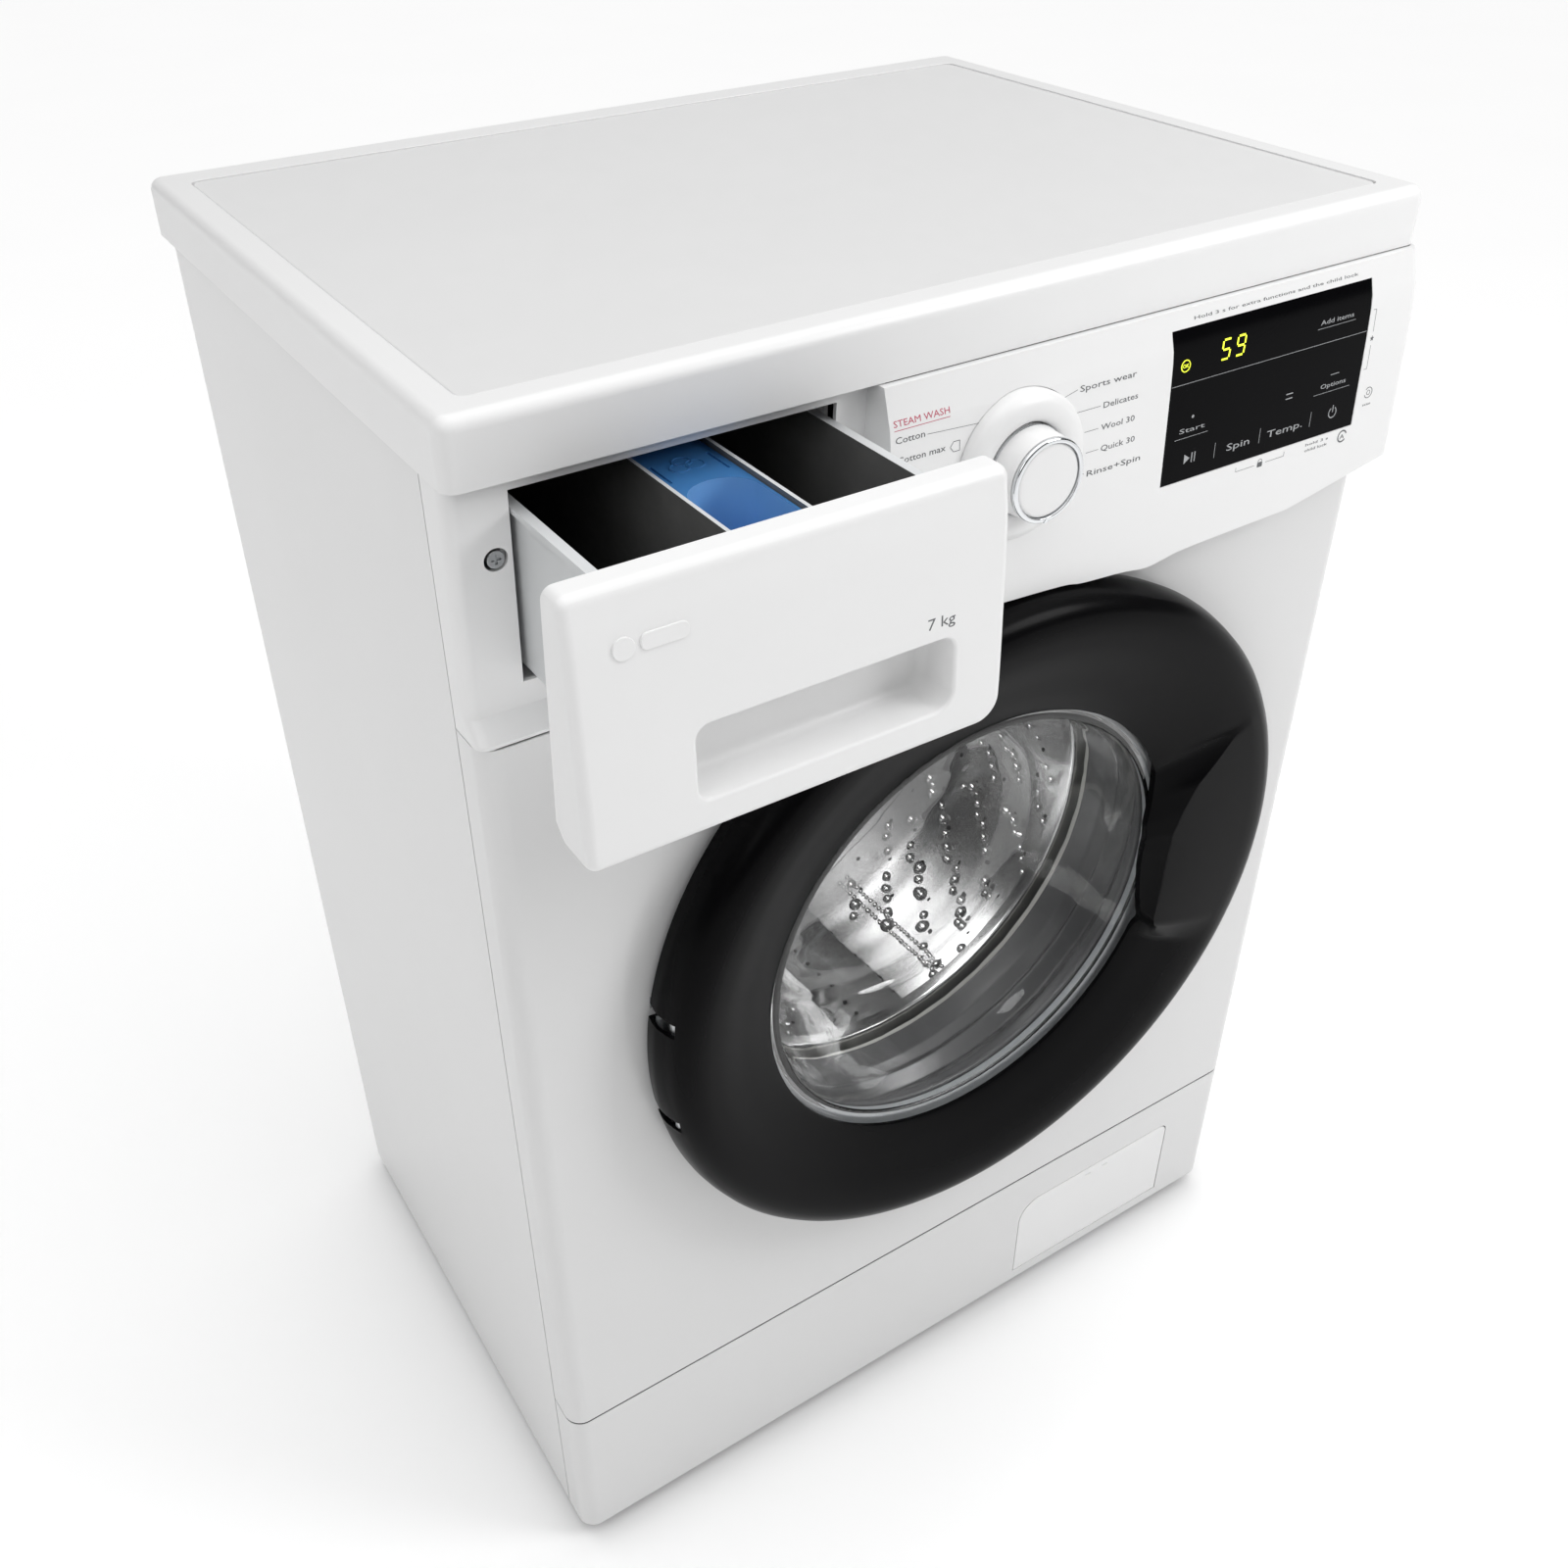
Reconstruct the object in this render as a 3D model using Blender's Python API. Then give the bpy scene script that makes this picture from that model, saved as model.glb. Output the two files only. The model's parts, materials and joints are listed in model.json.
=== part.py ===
# Front load washing machine, 600 x 850 x 440 mm, with its dispenser drawer pulled out 92 mm.
# Metres, +Z up. X runs to the viewer's right, Y runs from the front to the back.
# Every shape is described in the machine's own frame, where y = 0 is the lid's front edge,
# and hangs from the empty "machine", which puts the whole thing's middle over the origin.

import bpy
import bmesh
from math import pi, sin, cos, radians
from mathutils import Matrix, Vector

# ---- driving dimensions ----
WIDTH = 0.600
DEPTH = 0.440
HEIGHT = 0.850
LID_Z = 0.817              # underside of the lid
BODY_X = 0.2985            # half width of the cabinet
BODY_FRONT = 0.0054        # outer face of the front sheet
BODY_BACK = 0.418          # outer face of the back sheet
SEAM_Y = 0.0325            # where the front panels meet the wrapped sheet
BASE_Z = 0.016
KICK_Z = 0.140
SHEET = 0.0012
CORNER = 0.012             # radius of the front sheet's vertical edges
GAP = 0.0003
SEAM = 0.0008

DRAWER_OUT = 0.092         # how far the drawer is pulled out at rest
DRAWER_FACE = -0.105       # its front face, pulled out

DOOR_Z = 0.448             # height of the drum's and the door's axis
DOOR_R = 0.228
RING_SHIFT = 0.0075        # the ring's crown sits this far to the right of the drum's axis
RING_WIDER = 0.0070
PORT_R = 0.163
HINGE_X = -0.2165
HINGE_Y = -0.0165
HINGE_ARM_Z = 0.038        # the two hinge arms are this far above and below the middle
HOOK_X = 0.198

KNOB_Z = 0.760
DISPLAY = (0.103, 0.257, 0.721, 0.8065)        # x from, x to, z from, z to
TRAY = (-0.265, -0.100, 0.712, 0.800)
TRAY_WALLS = (-0.201, -0.160)                  # x of the two partitions
RECESS_X = -0.081                              # right wall of the drawer's recess

FLAP = (0.088, 0.2425, 0.0262, 0.105)
FILTER_X, FILTER_Z = 0.165, 0.072
FOOT_X, FOOT_FRONT, FOOT_BACK = 0.250, 0.075, 0.375

TUB_R = 0.262
DRUM_R = 0.2385
LIFTER_ANGLES = (-80, 40, 160)
SPRING_X, SPRING_Y = 0.2835, 0.200
DAMPER_TILT = radians(12)

# front of the control panel from the top down, as (y, z)
PANEL_FACE = [(-0.0036, 0.8165), (-0.0103, 0.790), (-0.0127, 0.744), (-0.0142, 0.704), (-0.0146, 0.666)]
# the flat behind the drawer front leans back, then flares out to the body's front
RECESS_FACE = [(0.0094, 0.8145), (0.0170, 0.699), (BODY_FRONT + GAP, 0.687)]
# lower edge of the control panel from left to right, as (x, z)
PANEL_EDGE = [(-0.31, 0.685), (-0.08, 0.685), (0.026, 0.681), (0.052, 0.6775), (0.080, 0.6753),
              (0.100, 0.6727), (0.114, 0.6743), (0.135, 0.6764), (0.224, 0.6786), (0.31, 0.681)]

for old in list(bpy.data.objects):
    bpy.data.objects.remove(old)

machine = bpy.data.objects.new("machine", None)
machine.location = (0, -(DEPTH + DRAWER_FACE) / 2, 0)
bpy.context.collection.objects.link(machine)

# colour, roughness, metallic of each kind of stuff
ENAMEL = ((0.88, 0.88, 0.88), 0.30, 0.0)
WHITE_PLASTIC = ((0.86, 0.86, 0.86), 0.32, 0.0)
GREY_PLASTIC = ((0.45, 0.46, 0.47), 0.50, 0.0)
BOARD_GREY = ((0.74, 0.74, 0.74), 0.45, 0.0)
BLACK_GLOSS = ((0.010, 0.010, 0.011), 0.22, 0.0)
BLACK_WINDOW = ((0.006, 0.006, 0.008), 0.08, 0.0)
GLASS = ((0.80, 0.84, 0.84), 0.05, 0.0)
BLUE_PLASTIC = ((0.07, 0.28, 0.68), 0.35, 0.0)
TRAY_PLASTIC = ((0.62, 0.64, 0.65), 0.35, 0.0)
RUBBER = ((0.13, 0.13, 0.14), 0.60, 0.0)
STAINLESS = ((0.62, 0.62, 0.63), 0.25, 1.0)
STEEL = ((0.42, 0.42, 0.43), 0.40, 1.0)
CHROME = ((0.80, 0.80, 0.82), 0.10, 1.0)
ALUMINIUM = ((0.60, 0.61, 0.62), 0.45, 1.0)
CAST_IRON = ((0.10, 0.10, 0.10), 0.75, 0.3)
COPPER = ((0.50, 0.20, 0.08), 0.40, 0.9)
TUB_PLASTIC = ((0.55, 0.55, 0.53), 0.55, 0.0)
BOARD_GREEN = ((0.03, 0.16, 0.07), 0.50, 0.0)


# ---- small modelling helpers ----
def place(obj, stuff, pivot=(0, 0, 0), round_shape=True):
    """Give the object its material, put its origin on the pivot and hang it from the machine."""
    colour, rough, metal = stuff
    material = bpy.data.materials.new(obj.name)
    material.use_nodes = True
    shader = material.node_tree.nodes["Principled BSDF"]
    shader.inputs["Base Color"].default_value = (*colour, 1)
    shader.inputs["Roughness"].default_value = rough
    shader.inputs["Metallic"].default_value = metal
    obj.data.materials.append(material)
    obj.data.transform(Matrix.Translation(-Vector(pivot)))
    obj.location = pivot
    obj.parent = machine
    if round_shape and obj.type == "MESH":
        obj.data.shade_smooth()
        obj.data.set_sharp_from_angle(angle=radians(35))
    return obj


def mesh_object(name, bm):
    bmesh.ops.recalc_face_normals(bm, faces=bm.faces)
    mesh = bpy.data.meshes.new(name)
    bm.to_mesh(mesh)
    bm.free()
    obj = bpy.data.objects.new(name, mesh)
    bpy.context.collection.objects.link(obj)
    return obj


def extruded(name, outline, axis, low, high):
    """A closed outline pushed along an axis. Outlines are (y, z), (x, z) or (x, y)."""
    spots = {"x": lambda a, b: (low, a, b), "y": lambda a, b: (a, low, b), "z": lambda a, b: (a, b, low)}
    push = {"x": Vector((high - low, 0, 0)), "y": Vector((0, high - low, 0)), "z": Vector((0, 0, high - low))}
    bm = bmesh.new()
    face = bm.faces.new([bm.verts.new(spots[axis](a, b)) for a, b in outline])
    grown = bmesh.ops.extrude_face_region(bm, geom=[face])
    moved = [item for item in grown["geom"] if isinstance(item, bmesh.types.BMVert)]
    bmesh.ops.translate(bm, verts=moved, vec=push[axis])
    return mesh_object(name, bm)


def block(name, low, high):
    corners = [(low[0], low[1]), (high[0], low[1]), (high[0], high[1]), (low[0], high[1])]
    return extruded(name, corners, "z", low[2], high[2])


def turned(name, profile, middle, steps=40, axis="y"):
    """A closed (radius, distance) profile turned about the y or the z axis through middle."""
    bm = bmesh.new()
    lathe_axis = Vector((0, 1, 0)) if axis == "y" else Vector((0, 0, 1))
    base = Vector(middle)
    verts = [bm.verts.new(base + Vector((r, 0, 0)) + lathe_axis * s) for r, s in profile]
    edges = [bm.edges.new((verts[i], verts[(i + 1) % len(verts)])) for i in range(len(verts))]
    bmesh.ops.spin(bm, geom=verts + edges, cent=base, axis=lathe_axis, angle=2 * pi, steps=steps,
                   use_merge=True)
    bmesh.ops.remove_doubles(bm, verts=bm.verts, dist=0.00001)
    bmesh.ops.dissolve_degenerate(bm, edges=bm.edges, dist=0.00001)
    return mesh_object(name, bm)


def tube(name, points, radius, resolution=1):
    """A round wire or pipe along a list of points."""
    curve = bpy.data.curves.new(name, "CURVE")
    curve.dimensions = "3D"
    curve.bevel_depth = radius
    curve.bevel_resolution = resolution
    curve.use_fill_caps = True
    line = curve.splines.new("POLY")
    line.points.add(len(points) - 1)
    for spot, point in zip(line.points, points):
        spot.co = (*point, 1)
    obj = bpy.data.objects.new(name, curve)
    bpy.context.collection.objects.link(obj)
    return obj


def rounded(x0, x1, y0, y1, radii, steps=4):
    """A rectangle's outline with its corners rounded: radii from the low corner, anticlockwise."""
    corners = [(x0, y0, 180), (x1, y0, 270), (x1, y1, 0), (x0, y1, 90)]
    points = []
    for (x, y, start), r in zip(corners, radii):
        centre = (x + (r if x == x0 else -r), y + (r if y == y0 else -r))
        for i in range(steps + 1 if r else 1):
            angle = radians(start + 90 * i / steps)
            points.append((centre[0] + r * cos(angle), centre[1] + r * sin(angle)))
    return points


def sector(r0, r1, centre, half_angle, steps=6):
    """A piece of a ring on the +x side, as (x, z)."""
    turns = [radians(-half_angle + 2 * half_angle * i / steps) for i in range(steps + 1)]
    outer = [(centre[0] + r1 * cos(t), centre[1] + r1 * sin(t)) for t in turns]
    inner = [(centre[0] + r0 * cos(t), centre[1] + r0 * sin(t)) for t in reversed(turns)]
    return outer + inner


def combine(obj, other, operation):
    """Cut the other shape away from the object, or join it on; the other stays as a hidden guide."""
    other.hide_render = True
    other.display_type = "WIRE"
    other.parent = machine
    step = obj.modifiers.new(other.name, "BOOLEAN")
    step.operation = operation
    step.object = other


def cut(obj, *others):
    for other in others:
        combine(obj, other, "DIFFERENCE")


def join(obj, *others):
    for other in others:
        combine(obj, other, "UNION")


def panel_front(z):
    """y of the control panel's face at height z."""
    for (y0, z0), (y1, z1) in zip(PANEL_FACE, PANEL_FACE[1:]):
        if z1 <= z <= z0:
            return y0 + (y1 - y0) * (z0 - z) / (z0 - z1)
    return PANEL_FACE[0][0]


def front_section(thickness=SHEET):
    """Plan of a front sheet that wraps round both vertical corners, as (x, y)."""
    outer, inner = [], []
    for side, start in ((-1, 180), (1, 270)):
        for i in range(5):
            angle = radians(start + 90 * i / 4)
            centre = (side * (BODY_X - CORNER), BODY_FRONT + CORNER)
            outer.append((centre[0] + CORNER * cos(angle), centre[1] + CORNER * sin(angle)))
            small = CORNER - thickness
            inner.append((centre[0] + small * cos(angle), centre[1] + small * sin(angle)))
    outer = [(-BODY_X, SEAM_Y)] + outer + [(BODY_X, SEAM_Y)]
    inner = [(-BODY_X + thickness, SEAM_Y)] + inner + [(BODY_X - thickness, SEAM_Y)]
    return outer + inner[::-1]


# ---- cabinet ----
def make_cabinet_wrap():
    back_corner = 0.010
    flange = 0.012
    front = SEAM_Y + SEAM
    outline = [(-BODY_X + flange, front), (-BODY_X, front)]
    for side, start in ((-1, 180), (1, 90)):
        for i in range(4):
            angle = radians(start - 90 * i / 3)
            outline.append((side * (BODY_X - back_corner) + back_corner * cos(angle),
                            BODY_BACK - back_corner + back_corner * sin(angle)))
    outline += [(BODY_X, front), (BODY_X - flange, front), (BODY_X - flange, front + SHEET)]
    inner = BODY_X - SHEET
    outline += [(inner, front + SHEET), (inner, BODY_BACK - back_corner),
                (inner - 0.006, BODY_BACK - SHEET), (-inner + 0.006, BODY_BACK - SHEET),
                (-inner, BODY_BACK - back_corner), (-inner, front + SHEET),
                (-BODY_X + flange, front + SHEET)]
    wrap = extruded("cabinet_wrap", outline, "z", BASE_Z, LID_Z - GAP)
    window = extruded("wrap_window", rounded(-0.165, 0.165, 0.235, 0.655, (0.04,) * 4), "y", 0.40, 0.43)
    cut(wrap, window)
    for name, x, z, r in (("inlet", 0.200, 0.775, 0.0117), ("drain", -0.200, 0.745, 0.0125),
                          ("gland", 0.235, 0.700, 0.0098)):
        cut(wrap, turned("wrap_hole_" + name, [(0, 0.40), (r, 0.40), (r, 0.43), (0, 0.43)], (x, 0, z), 20))
    place(wrap, ENAMEL)


def make_front_panel():
    panel = extruded("front_panel", front_section(), "z", KICK_Z + SEAM / 2, 0.690)
    above = [(x, z - SEAM) for x, z in PANEL_EDGE] + [(0.31, 0.75), (-0.31, 0.75)]
    cut(panel, extruded("front_panel_top", above, "y", -0.02, 0.06))
    port = [(0, -0.02), (PORT_R, -0.02), (PORT_R, 0.02), (0, 0.02)]
    cut(panel, turned("porthole", port, (0, 0, DOOR_Z), 64))
    for side in (-1, 1):
        z = DOOR_Z + side * HINGE_ARM_Z
        cut(panel, block(f"hinge_slot_{side}", (HINGE_X - 0.004, -0.01, z - 0.0045),
                         (HINGE_X + 0.004, 0.02, z + 0.0045)))
    cut(panel, block("hook_slot", (HOOK_X - 0.008, -0.01, DOOR_Z - 0.022), (HOOK_X + 0.008, 0.02, DOOR_Z + 0.022)))
    place(panel, ENAMEL)


def flap_outline(grow):
    x0, x1, z0, z1 = FLAP
    return rounded(x0 - grow, x1 + grow, z0 - grow, z1 + grow, (0, 0, 0.008, 0.020))


def make_kick_plate():
    plate = extruded("kick_plate", front_section(), "z", BASE_Z, KICK_Z - SEAM / 2)
    cut(plate, extruded("flap_opening", flap_outline(0.0008), "y", -0.01, 0.02))
    place(plate, ENAMEL)


def make_service_flap():
    flap = extruded("service_flap", flap_outline(0), "y", BODY_FRONT, BODY_FRONT + 0.0020)
    place(flap, WHITE_PLASTIC, pivot=(0, BODY_FRONT + 0.0010, FLAP[2] + 0.0013))


def make_control_panel():
    wall = 0.0025
    back = SEAM_Y
    solid = extruded("control_panel", PANEL_FACE + [(back, 0.666), (back, 0.8165)], "x", -BODY_X, BODY_X)
    bm = bmesh.new()
    bm.from_mesh(solid.data)
    ends = [e for e in bm.edges if all(abs(v.co.x) > BODY_X - 0.001 and v.co.y < 0 for v in e.verts)]
    bmesh.ops.bevel(bm, geom=ends, offset=0.006, segments=3, affect="EDGES", profile=0.5)
    bm.to_mesh(solid.data)
    bm.free()
    far = 0.05
    right = [(y + wall, z) for y, z in PANEL_FACE[:3]] + [(-0.0117, 0.708), (0.005, 0.6875), (far, 0.6875), (far, 0.84)]
    right[0] = (right[0][0] + 0.003, 0.84)
    cut(solid, extruded("panel_hollow_right", right, "x", RECESS_X + 0.004, BODY_X - wall))
    recess = [(-far, 0.84), (0.0085, 0.84)] + RECESS_FACE + [(BODY_FRONT + GAP, 0.65), (-far, 0.65)]
    cut(solid, extruded("drawer_recess", recess, "x", -0.31, RECESS_X))
    left = [(0.0110, 0.84), (0.0119, 0.8145), (0.0195, 0.700), (0.0195, 0.689), (far, 0.689), (far, 0.84)]
    cut(solid, extruded("panel_hollow_left", left, "x", -BODY_X + wall, RECESS_X - 0.0035))
    below = PANEL_EDGE + [(0.31, 0.60), (-0.31, 0.60)]
    cut(solid, extruded("panel_edge", below, "y", -0.06, 0.06))
    cut(solid, panel_lower_bevel())
    x0, x1, z0, z1 = TRAY
    cut(solid, block("tray_opening", (x0 - 0.0035, -0.01, z0 - 0.003), (x1 + 0.0015, far, 0.809)))
    cut(solid, extruded("display_pocket", display_section(0.0023, GAP), "x", DISPLAY[0] - GAP, DISPLAY[1] + GAP))
    socket = [(0, -0.03), (0.0403, -0.03), (0.0403, 0.0), (0, 0.0)]
    cut(solid, turned("bezel_socket", socket, (0, 0, KNOB_Z), 32))
    place(solid, WHITE_PLASTIC)


def panel_lower_bevel():
    """The wedge taken off the panel's lower edge, growing from the middle to the right."""
    start, end, front = 0.112, 0.31, -0.020
    bm = bmesh.new()
    spots = [(start, -0.0146, 0.6735), (end, -0.0143, 0.706), (end, 0.0054, 0.6800), (start, 0.0054, 0.6725),
             (start, front, 0.6730), (end, front, 0.706), (end, front, 0.640), (start, front, 0.640),
             (end, 0.0054, 0.640), (start, 0.0054, 0.640)]
    v = [bm.verts.new(s) for s in spots]
    for ring in ((0, 1, 2, 3), (0, 4, 5, 1), (4, 7, 6, 5), (7, 9, 8, 6), (9, 3, 2, 8), (0, 3, 9, 7, 4), (1, 5, 6, 8, 2)):
        bm.faces.new([v[i] for i in ring])
    return mesh_object("panel_bevel", bm)


def display_section(depth, grow):
    """Section of the display window, following the panel's face, as (y, z)."""
    z0, z1 = DISPLAY[2] - grow, DISPLAY[3] + grow
    heights = [z0, 0.744, 0.790, z1]
    sink = GAP if grow == 0 else -0.01
    front = [(panel_front(z) + sink, z) for z in heights]
    back = [(panel_front(z) + depth, z) for z in reversed(heights)]
    return front + back


def make_display_window():
    window = extruded("display_window", display_section(0.0020, 0), "x", DISPLAY[0], DISPLAY[1])
    place(window, BLACK_WINDOW)


def make_knob():
    middle = (0, 0, KNOB_Z)
    bezel = [(0.0045, -0.0095), (0.0240, -0.0095), (0.0240, -0.0150), (0.0252, -0.0185), (0.0300, -0.0195),
             (0.0375, -0.0182), (0.0400, -0.0145), (0.0400, -0.0075), (0.0045, -0.0075)]
    place(turned("knob_bezel", bezel, middle, 32), WHITE_PLASTIC)
    knob = [(0, -0.0345), (0.0195, -0.0345), (0.0195, -0.0322), (0.0226, -0.0322), (0.0235, -0.0130),
            (0.0035, -0.0130), (0.0035, 0.0125), (0, 0.0125)]
    pivot = (0, -0.0345, KNOB_Z)
    place(turned("program_knob", knob, middle, 32), WHITE_PLASTIC, pivot)
    trim = [(0.0198, -0.0353), (0.0220, -0.0353), (0.0226, -0.0345), (0.0226, -0.0326), (0.0198, -0.0326)]
    place(turned("knob_trim", trim, middle, 32), CHROME, pivot)


def make_control_board():
    board = block("control_board", (-0.060, 0.0135, 0.705), (0.270, 0.0151, 0.805))
    join(board, block("board_encoder", (-0.012, 0.0145, KNOB_Z - 0.012), (0.012, 0.022, KNOB_Z + 0.012)))
    place(board, BOARD_GREEN, round_shape=False)


def make_lid():
    soft_edge = 0.008
    outline = rounded(-WIDTH / 2, WIDTH / 2, 0, DEPTH, (0.012,) * 4, 4)
    frame = extruded("top_frame", outline, "z", LID_Z, HEIGHT)
    bm = bmesh.new()
    bm.from_mesh(frame.data)
    rim = [e for e in bm.edges if all(v.co.z > HEIGHT - 0.001 for v in e.verts)]
    bmesh.ops.bevel(bm, geom=rim, offset=soft_edge, segments=3, affect="EDGES", profile=0.5)
    bm.to_mesh(frame.data)
    bm.free()
    cut(frame, extruded("board_seat", rounded(-0.2813, 0.2813, 0.0197, 0.4133, (0.006,) * 4), "z", 0.8385, 0.87))
    cut(frame, block("lid_hollow", (-0.2945, 0.0055, 0.80), (0.2945, 0.4345, 0.8355)))
    cut(frame, block("lid_middle", (-0.262, 0.040, 0.82), (0.262, 0.394, 0.845)))
    place(frame, WHITE_PLASTIC)
    board = extruded("top_board", rounded(-0.281, 0.281, 0.020, 0.413, (0.006,) * 4), "z", 0.8388, 0.8494)
    place(board, BOARD_GREY)


def make_rear_fittings():
    cover = extruded("rear_cover", rounded(-0.175, 0.175, 0.225, 0.665, (0.045,) * 4), "y",
                     BODY_BACK + GAP, BODY_BACK + 0.0014)
    place(cover, ENAMEL)
    valve = block("inlet_valve", (0.180, 0.372, 0.755), (0.220, 0.4160, 0.795))
    nozzle = [(0, 0.41), (0.0105, 0.41), (0.0105, 0.4365), (0.0070, 0.4365), (0.0070, 0.4250), (0, 0.4250)]
    join(valve, turned("valve_nozzle", nozzle, (0.200, 0, 0.775), 16))
    place(valve, WHITE_PLASTIC)
    outlet = [(0.0085, 0.390), (0.0115, 0.390), (0.0115, 0.4080), (0.0180, 0.4080), (0.0180, 0.4160),
              (0.0120, 0.4160), (0.0120, 0.4370), (0.0085, 0.4370)]
    place(turned("drain_outlet", outlet, (-0.200, 0, 0.745), 16), GREY_PLASTIC)
    gland = [(0.0040, 0.4080), (0.0130, 0.4080), (0.0130, 0.4162), (0.0093, 0.4162), (0.0093, 0.4184),
             (0.0120, 0.4184), (0.0085, 0.4340), (0.0040, 0.4340)]
    place(turned("cord_gland", gland, (0.235, 0, 0.700), 16), RUBBER)


def make_base():
    tray = block("base_tray", (-0.285, 0.045, 0.018), (0.285, 0.405, 0.034))
    cut(tray, block("tray_hollow", (-0.282, 0.048, 0.0210), (0.282, 0.402, 0.05)))
    feet = [("front_left", -FOOT_X, FOOT_FRONT), ("front_right", FOOT_X, FOOT_FRONT),
            ("back_left", -FOOT_X, FOOT_BACK), ("back_right", FOOT_X, FOOT_BACK)]
    for name, x, y in feet:
        hole = [(0, 0.01), (0.0062, 0.01), (0.0062, 0.03), (0, 0.03)]
        cut(tray, turned("foot_hole_" + name, hole, (x, y, 0), 16, "z"))
        foot = [(0, 0), (0.0195, 0), (0.0205, 0.002), (0.0185, 0.0085), (0.0050, 0.0120), (0.0050, 0.0360),
                (0, 0.0360)]
        place(turned("foot_" + name, foot, (x, y, 0), 16, "z"), RUBBER, pivot=(x, y, 0))
    place(tray, GREY_PLASTIC)


# ---- door ----
def hinge_notch(name, side):
    """Room for a fixed hinge arm as the door turns round it, as a slice 9 mm high."""
    reach, half = 0.024, 0.0040
    outline = [(HINGE_X + half, HINGE_Y), (HINGE_X + half, HINGE_Y + reach), (HINGE_X - reach, HINGE_Y + reach),
               (HINGE_X - reach, HINGE_Y - 0.0085), (HINGE_X - 0.0060, HINGE_Y - 0.0060), (HINGE_X, HINGE_Y - 0.0046)]
    outline.append((HINGE_X + half, HINGE_Y - 0.0030))
    z = DOOR_Z + side * HINGE_ARM_Z
    return extruded(name, outline, "z", z - 0.0045, z + 0.0045)


def grip_outline():
    """The lip that swells inwards over the glass on the handle side, as (x, z)."""
    outer = sector(0.1500, 0.1925, (0, DOOR_Z), 20)[:7]
    turns = [radians(20 - 40 * i / 8) for i in range(9)]
    reach = [0.1340 + 0.0190 * sin(pi / 2 * abs(i - 4) / 4) ** 2 for i in range(9)]
    return outer + [(r * cos(t), DOOR_Z + r * sin(t)) for r, t in zip(reach, turns)]


def widen_ring(ring):
    """Makes the ring's crown a little wider on the handle side than on the hinge side."""
    for vertex in ring.data.vertices:
        x, z = vertex.co.x, vertex.co.z - DOOR_Z
        share = min(max(((x * x + z * z) ** 0.5 - 0.165) / 0.050, 0), 1)
        vertex.co.x += share * (RING_SHIFT + RING_WIDER * x / DOOR_R)
        vertex.co.z += share * (0.001 + 0.0025 * z / DOOR_R)


def make_door():
    middle = (0, 0, DOOR_Z)
    pivot = (HINGE_X, HINGE_Y, DOOR_Z)
    outer = [(0.1530, -0.0125), (0.1800, -0.0226), (0.1980, -0.0283), (0.2090, -0.0297), (0.2180, -0.0278),
             (0.2250, -0.0210), (DOOR_R, -0.0060), (0.2268, 0.0015)]
    inner = [(0.2246, 0.0015), (0.2257, -0.0060), (0.2228, -0.0196), (0.2170, -0.0252), (0.2085, -0.0274),
             (0.1985, -0.0260), (0.1810, -0.0204), (0.1530, -0.0098)]
    ring = turned("door_ring", outer + inner, middle, 52)
    widen_ring(ring)
    grip = extruded("grip_block", grip_outline(), "y", -0.0262, -0.0096)
    join(ring, grip)
    pocket = extruded("grip_pocket", sector(0.1250, 0.1900, (0, DOOR_Z), 18.5), "y", -0.0232, -0.0118)
    mouth = extruded("grip_mouth", sector(0.1200, 0.1545, (0, DOOR_Z), 24), "y", -0.0200, -0.0050)
    cut(ring, pocket, mouth)
    cut(ring, hinge_notch("ring_notch_low", -1), hinge_notch("ring_notch_high", 1))
    place(ring, BLACK_GLOSS, pivot)

    glass = [(0, 0.0945), (0.0700, 0.0930), (0.1080, 0.0880), (0.1220, 0.0780), (0.1400, 0.0300), (0.1478, -0.0052),
             (0.1600, -0.0052), (0.1600, -0.0090), (0.1450, -0.0090), (0.1361, 0.0290), (0.1185, 0.0758),
             (0.1065, 0.0842), (0.0700, 0.0890), (0, 0.0905)]
    place(turned("door_glass", glass, middle, 44), GLASS, pivot)

    back = turned("door_inner_ring", [(0.150, -0.0045), (0.2238, -0.0045), (0.2238, 0.0010), (0.150, 0.0010)],
                  middle, 48)
    widen_ring(back)
    cut(back, hinge_notch("inner_notch_low", -1), hinge_notch("inner_notch_high", 1))
    cut(back, block("hook_window", (HOOK_X - 0.0030, -0.01, DOOR_Z - 0.0075), (HOOK_X + 0.0030, 0.01, DOOR_Z + 0.0075)))
    place(back, GREY_PLASTIC, pivot)

    hinge = block("door_hinge", (HINGE_X - 0.0020, HINGE_Y - 0.0020, DOOR_Z - 0.033),
                  (HINGE_X + 0.0020, -0.0050, DOOR_Z + 0.033))
    join(hinge, block("hinge_leaf", (HINGE_X - 0.0018, -0.0070, DOOR_Z - 0.033), (-0.190, -0.0050, DOOR_Z + 0.033)))
    pin = [(0, DOOR_Z - 0.043), (0.0015, DOOR_Z - 0.043), (0.0015, DOOR_Z - 0.033), (0.0030, DOOR_Z - 0.0327),
           (0.0030, DOOR_Z + 0.0327), (0.0015, DOOR_Z + 0.033), (0.0015, DOOR_Z + 0.043), (0, DOOR_Z + 0.043)]
    join(hinge, turned("hinge_pin", pin, (HINGE_X, HINGE_Y, 0), 12, "z"))
    place(hinge, STEEL, pivot)

    hook = [(-0.0100, -0.0040), (0.0240, -0.0040), (0.0240, -0.0090), (0.0300, -0.0070), (0.0300, 0.0010),
            (0.0270, 0.0040), (-0.0100, 0.0040)]
    hook = extruded("door_hook", [(y, z + DOOR_Z) for y, z in hook], "x", HOOK_X - 0.0015, HOOK_X + 0.0015)
    place(hook, STEEL, pivot=(HOOK_X, -0.002, DOOR_Z))


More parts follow.
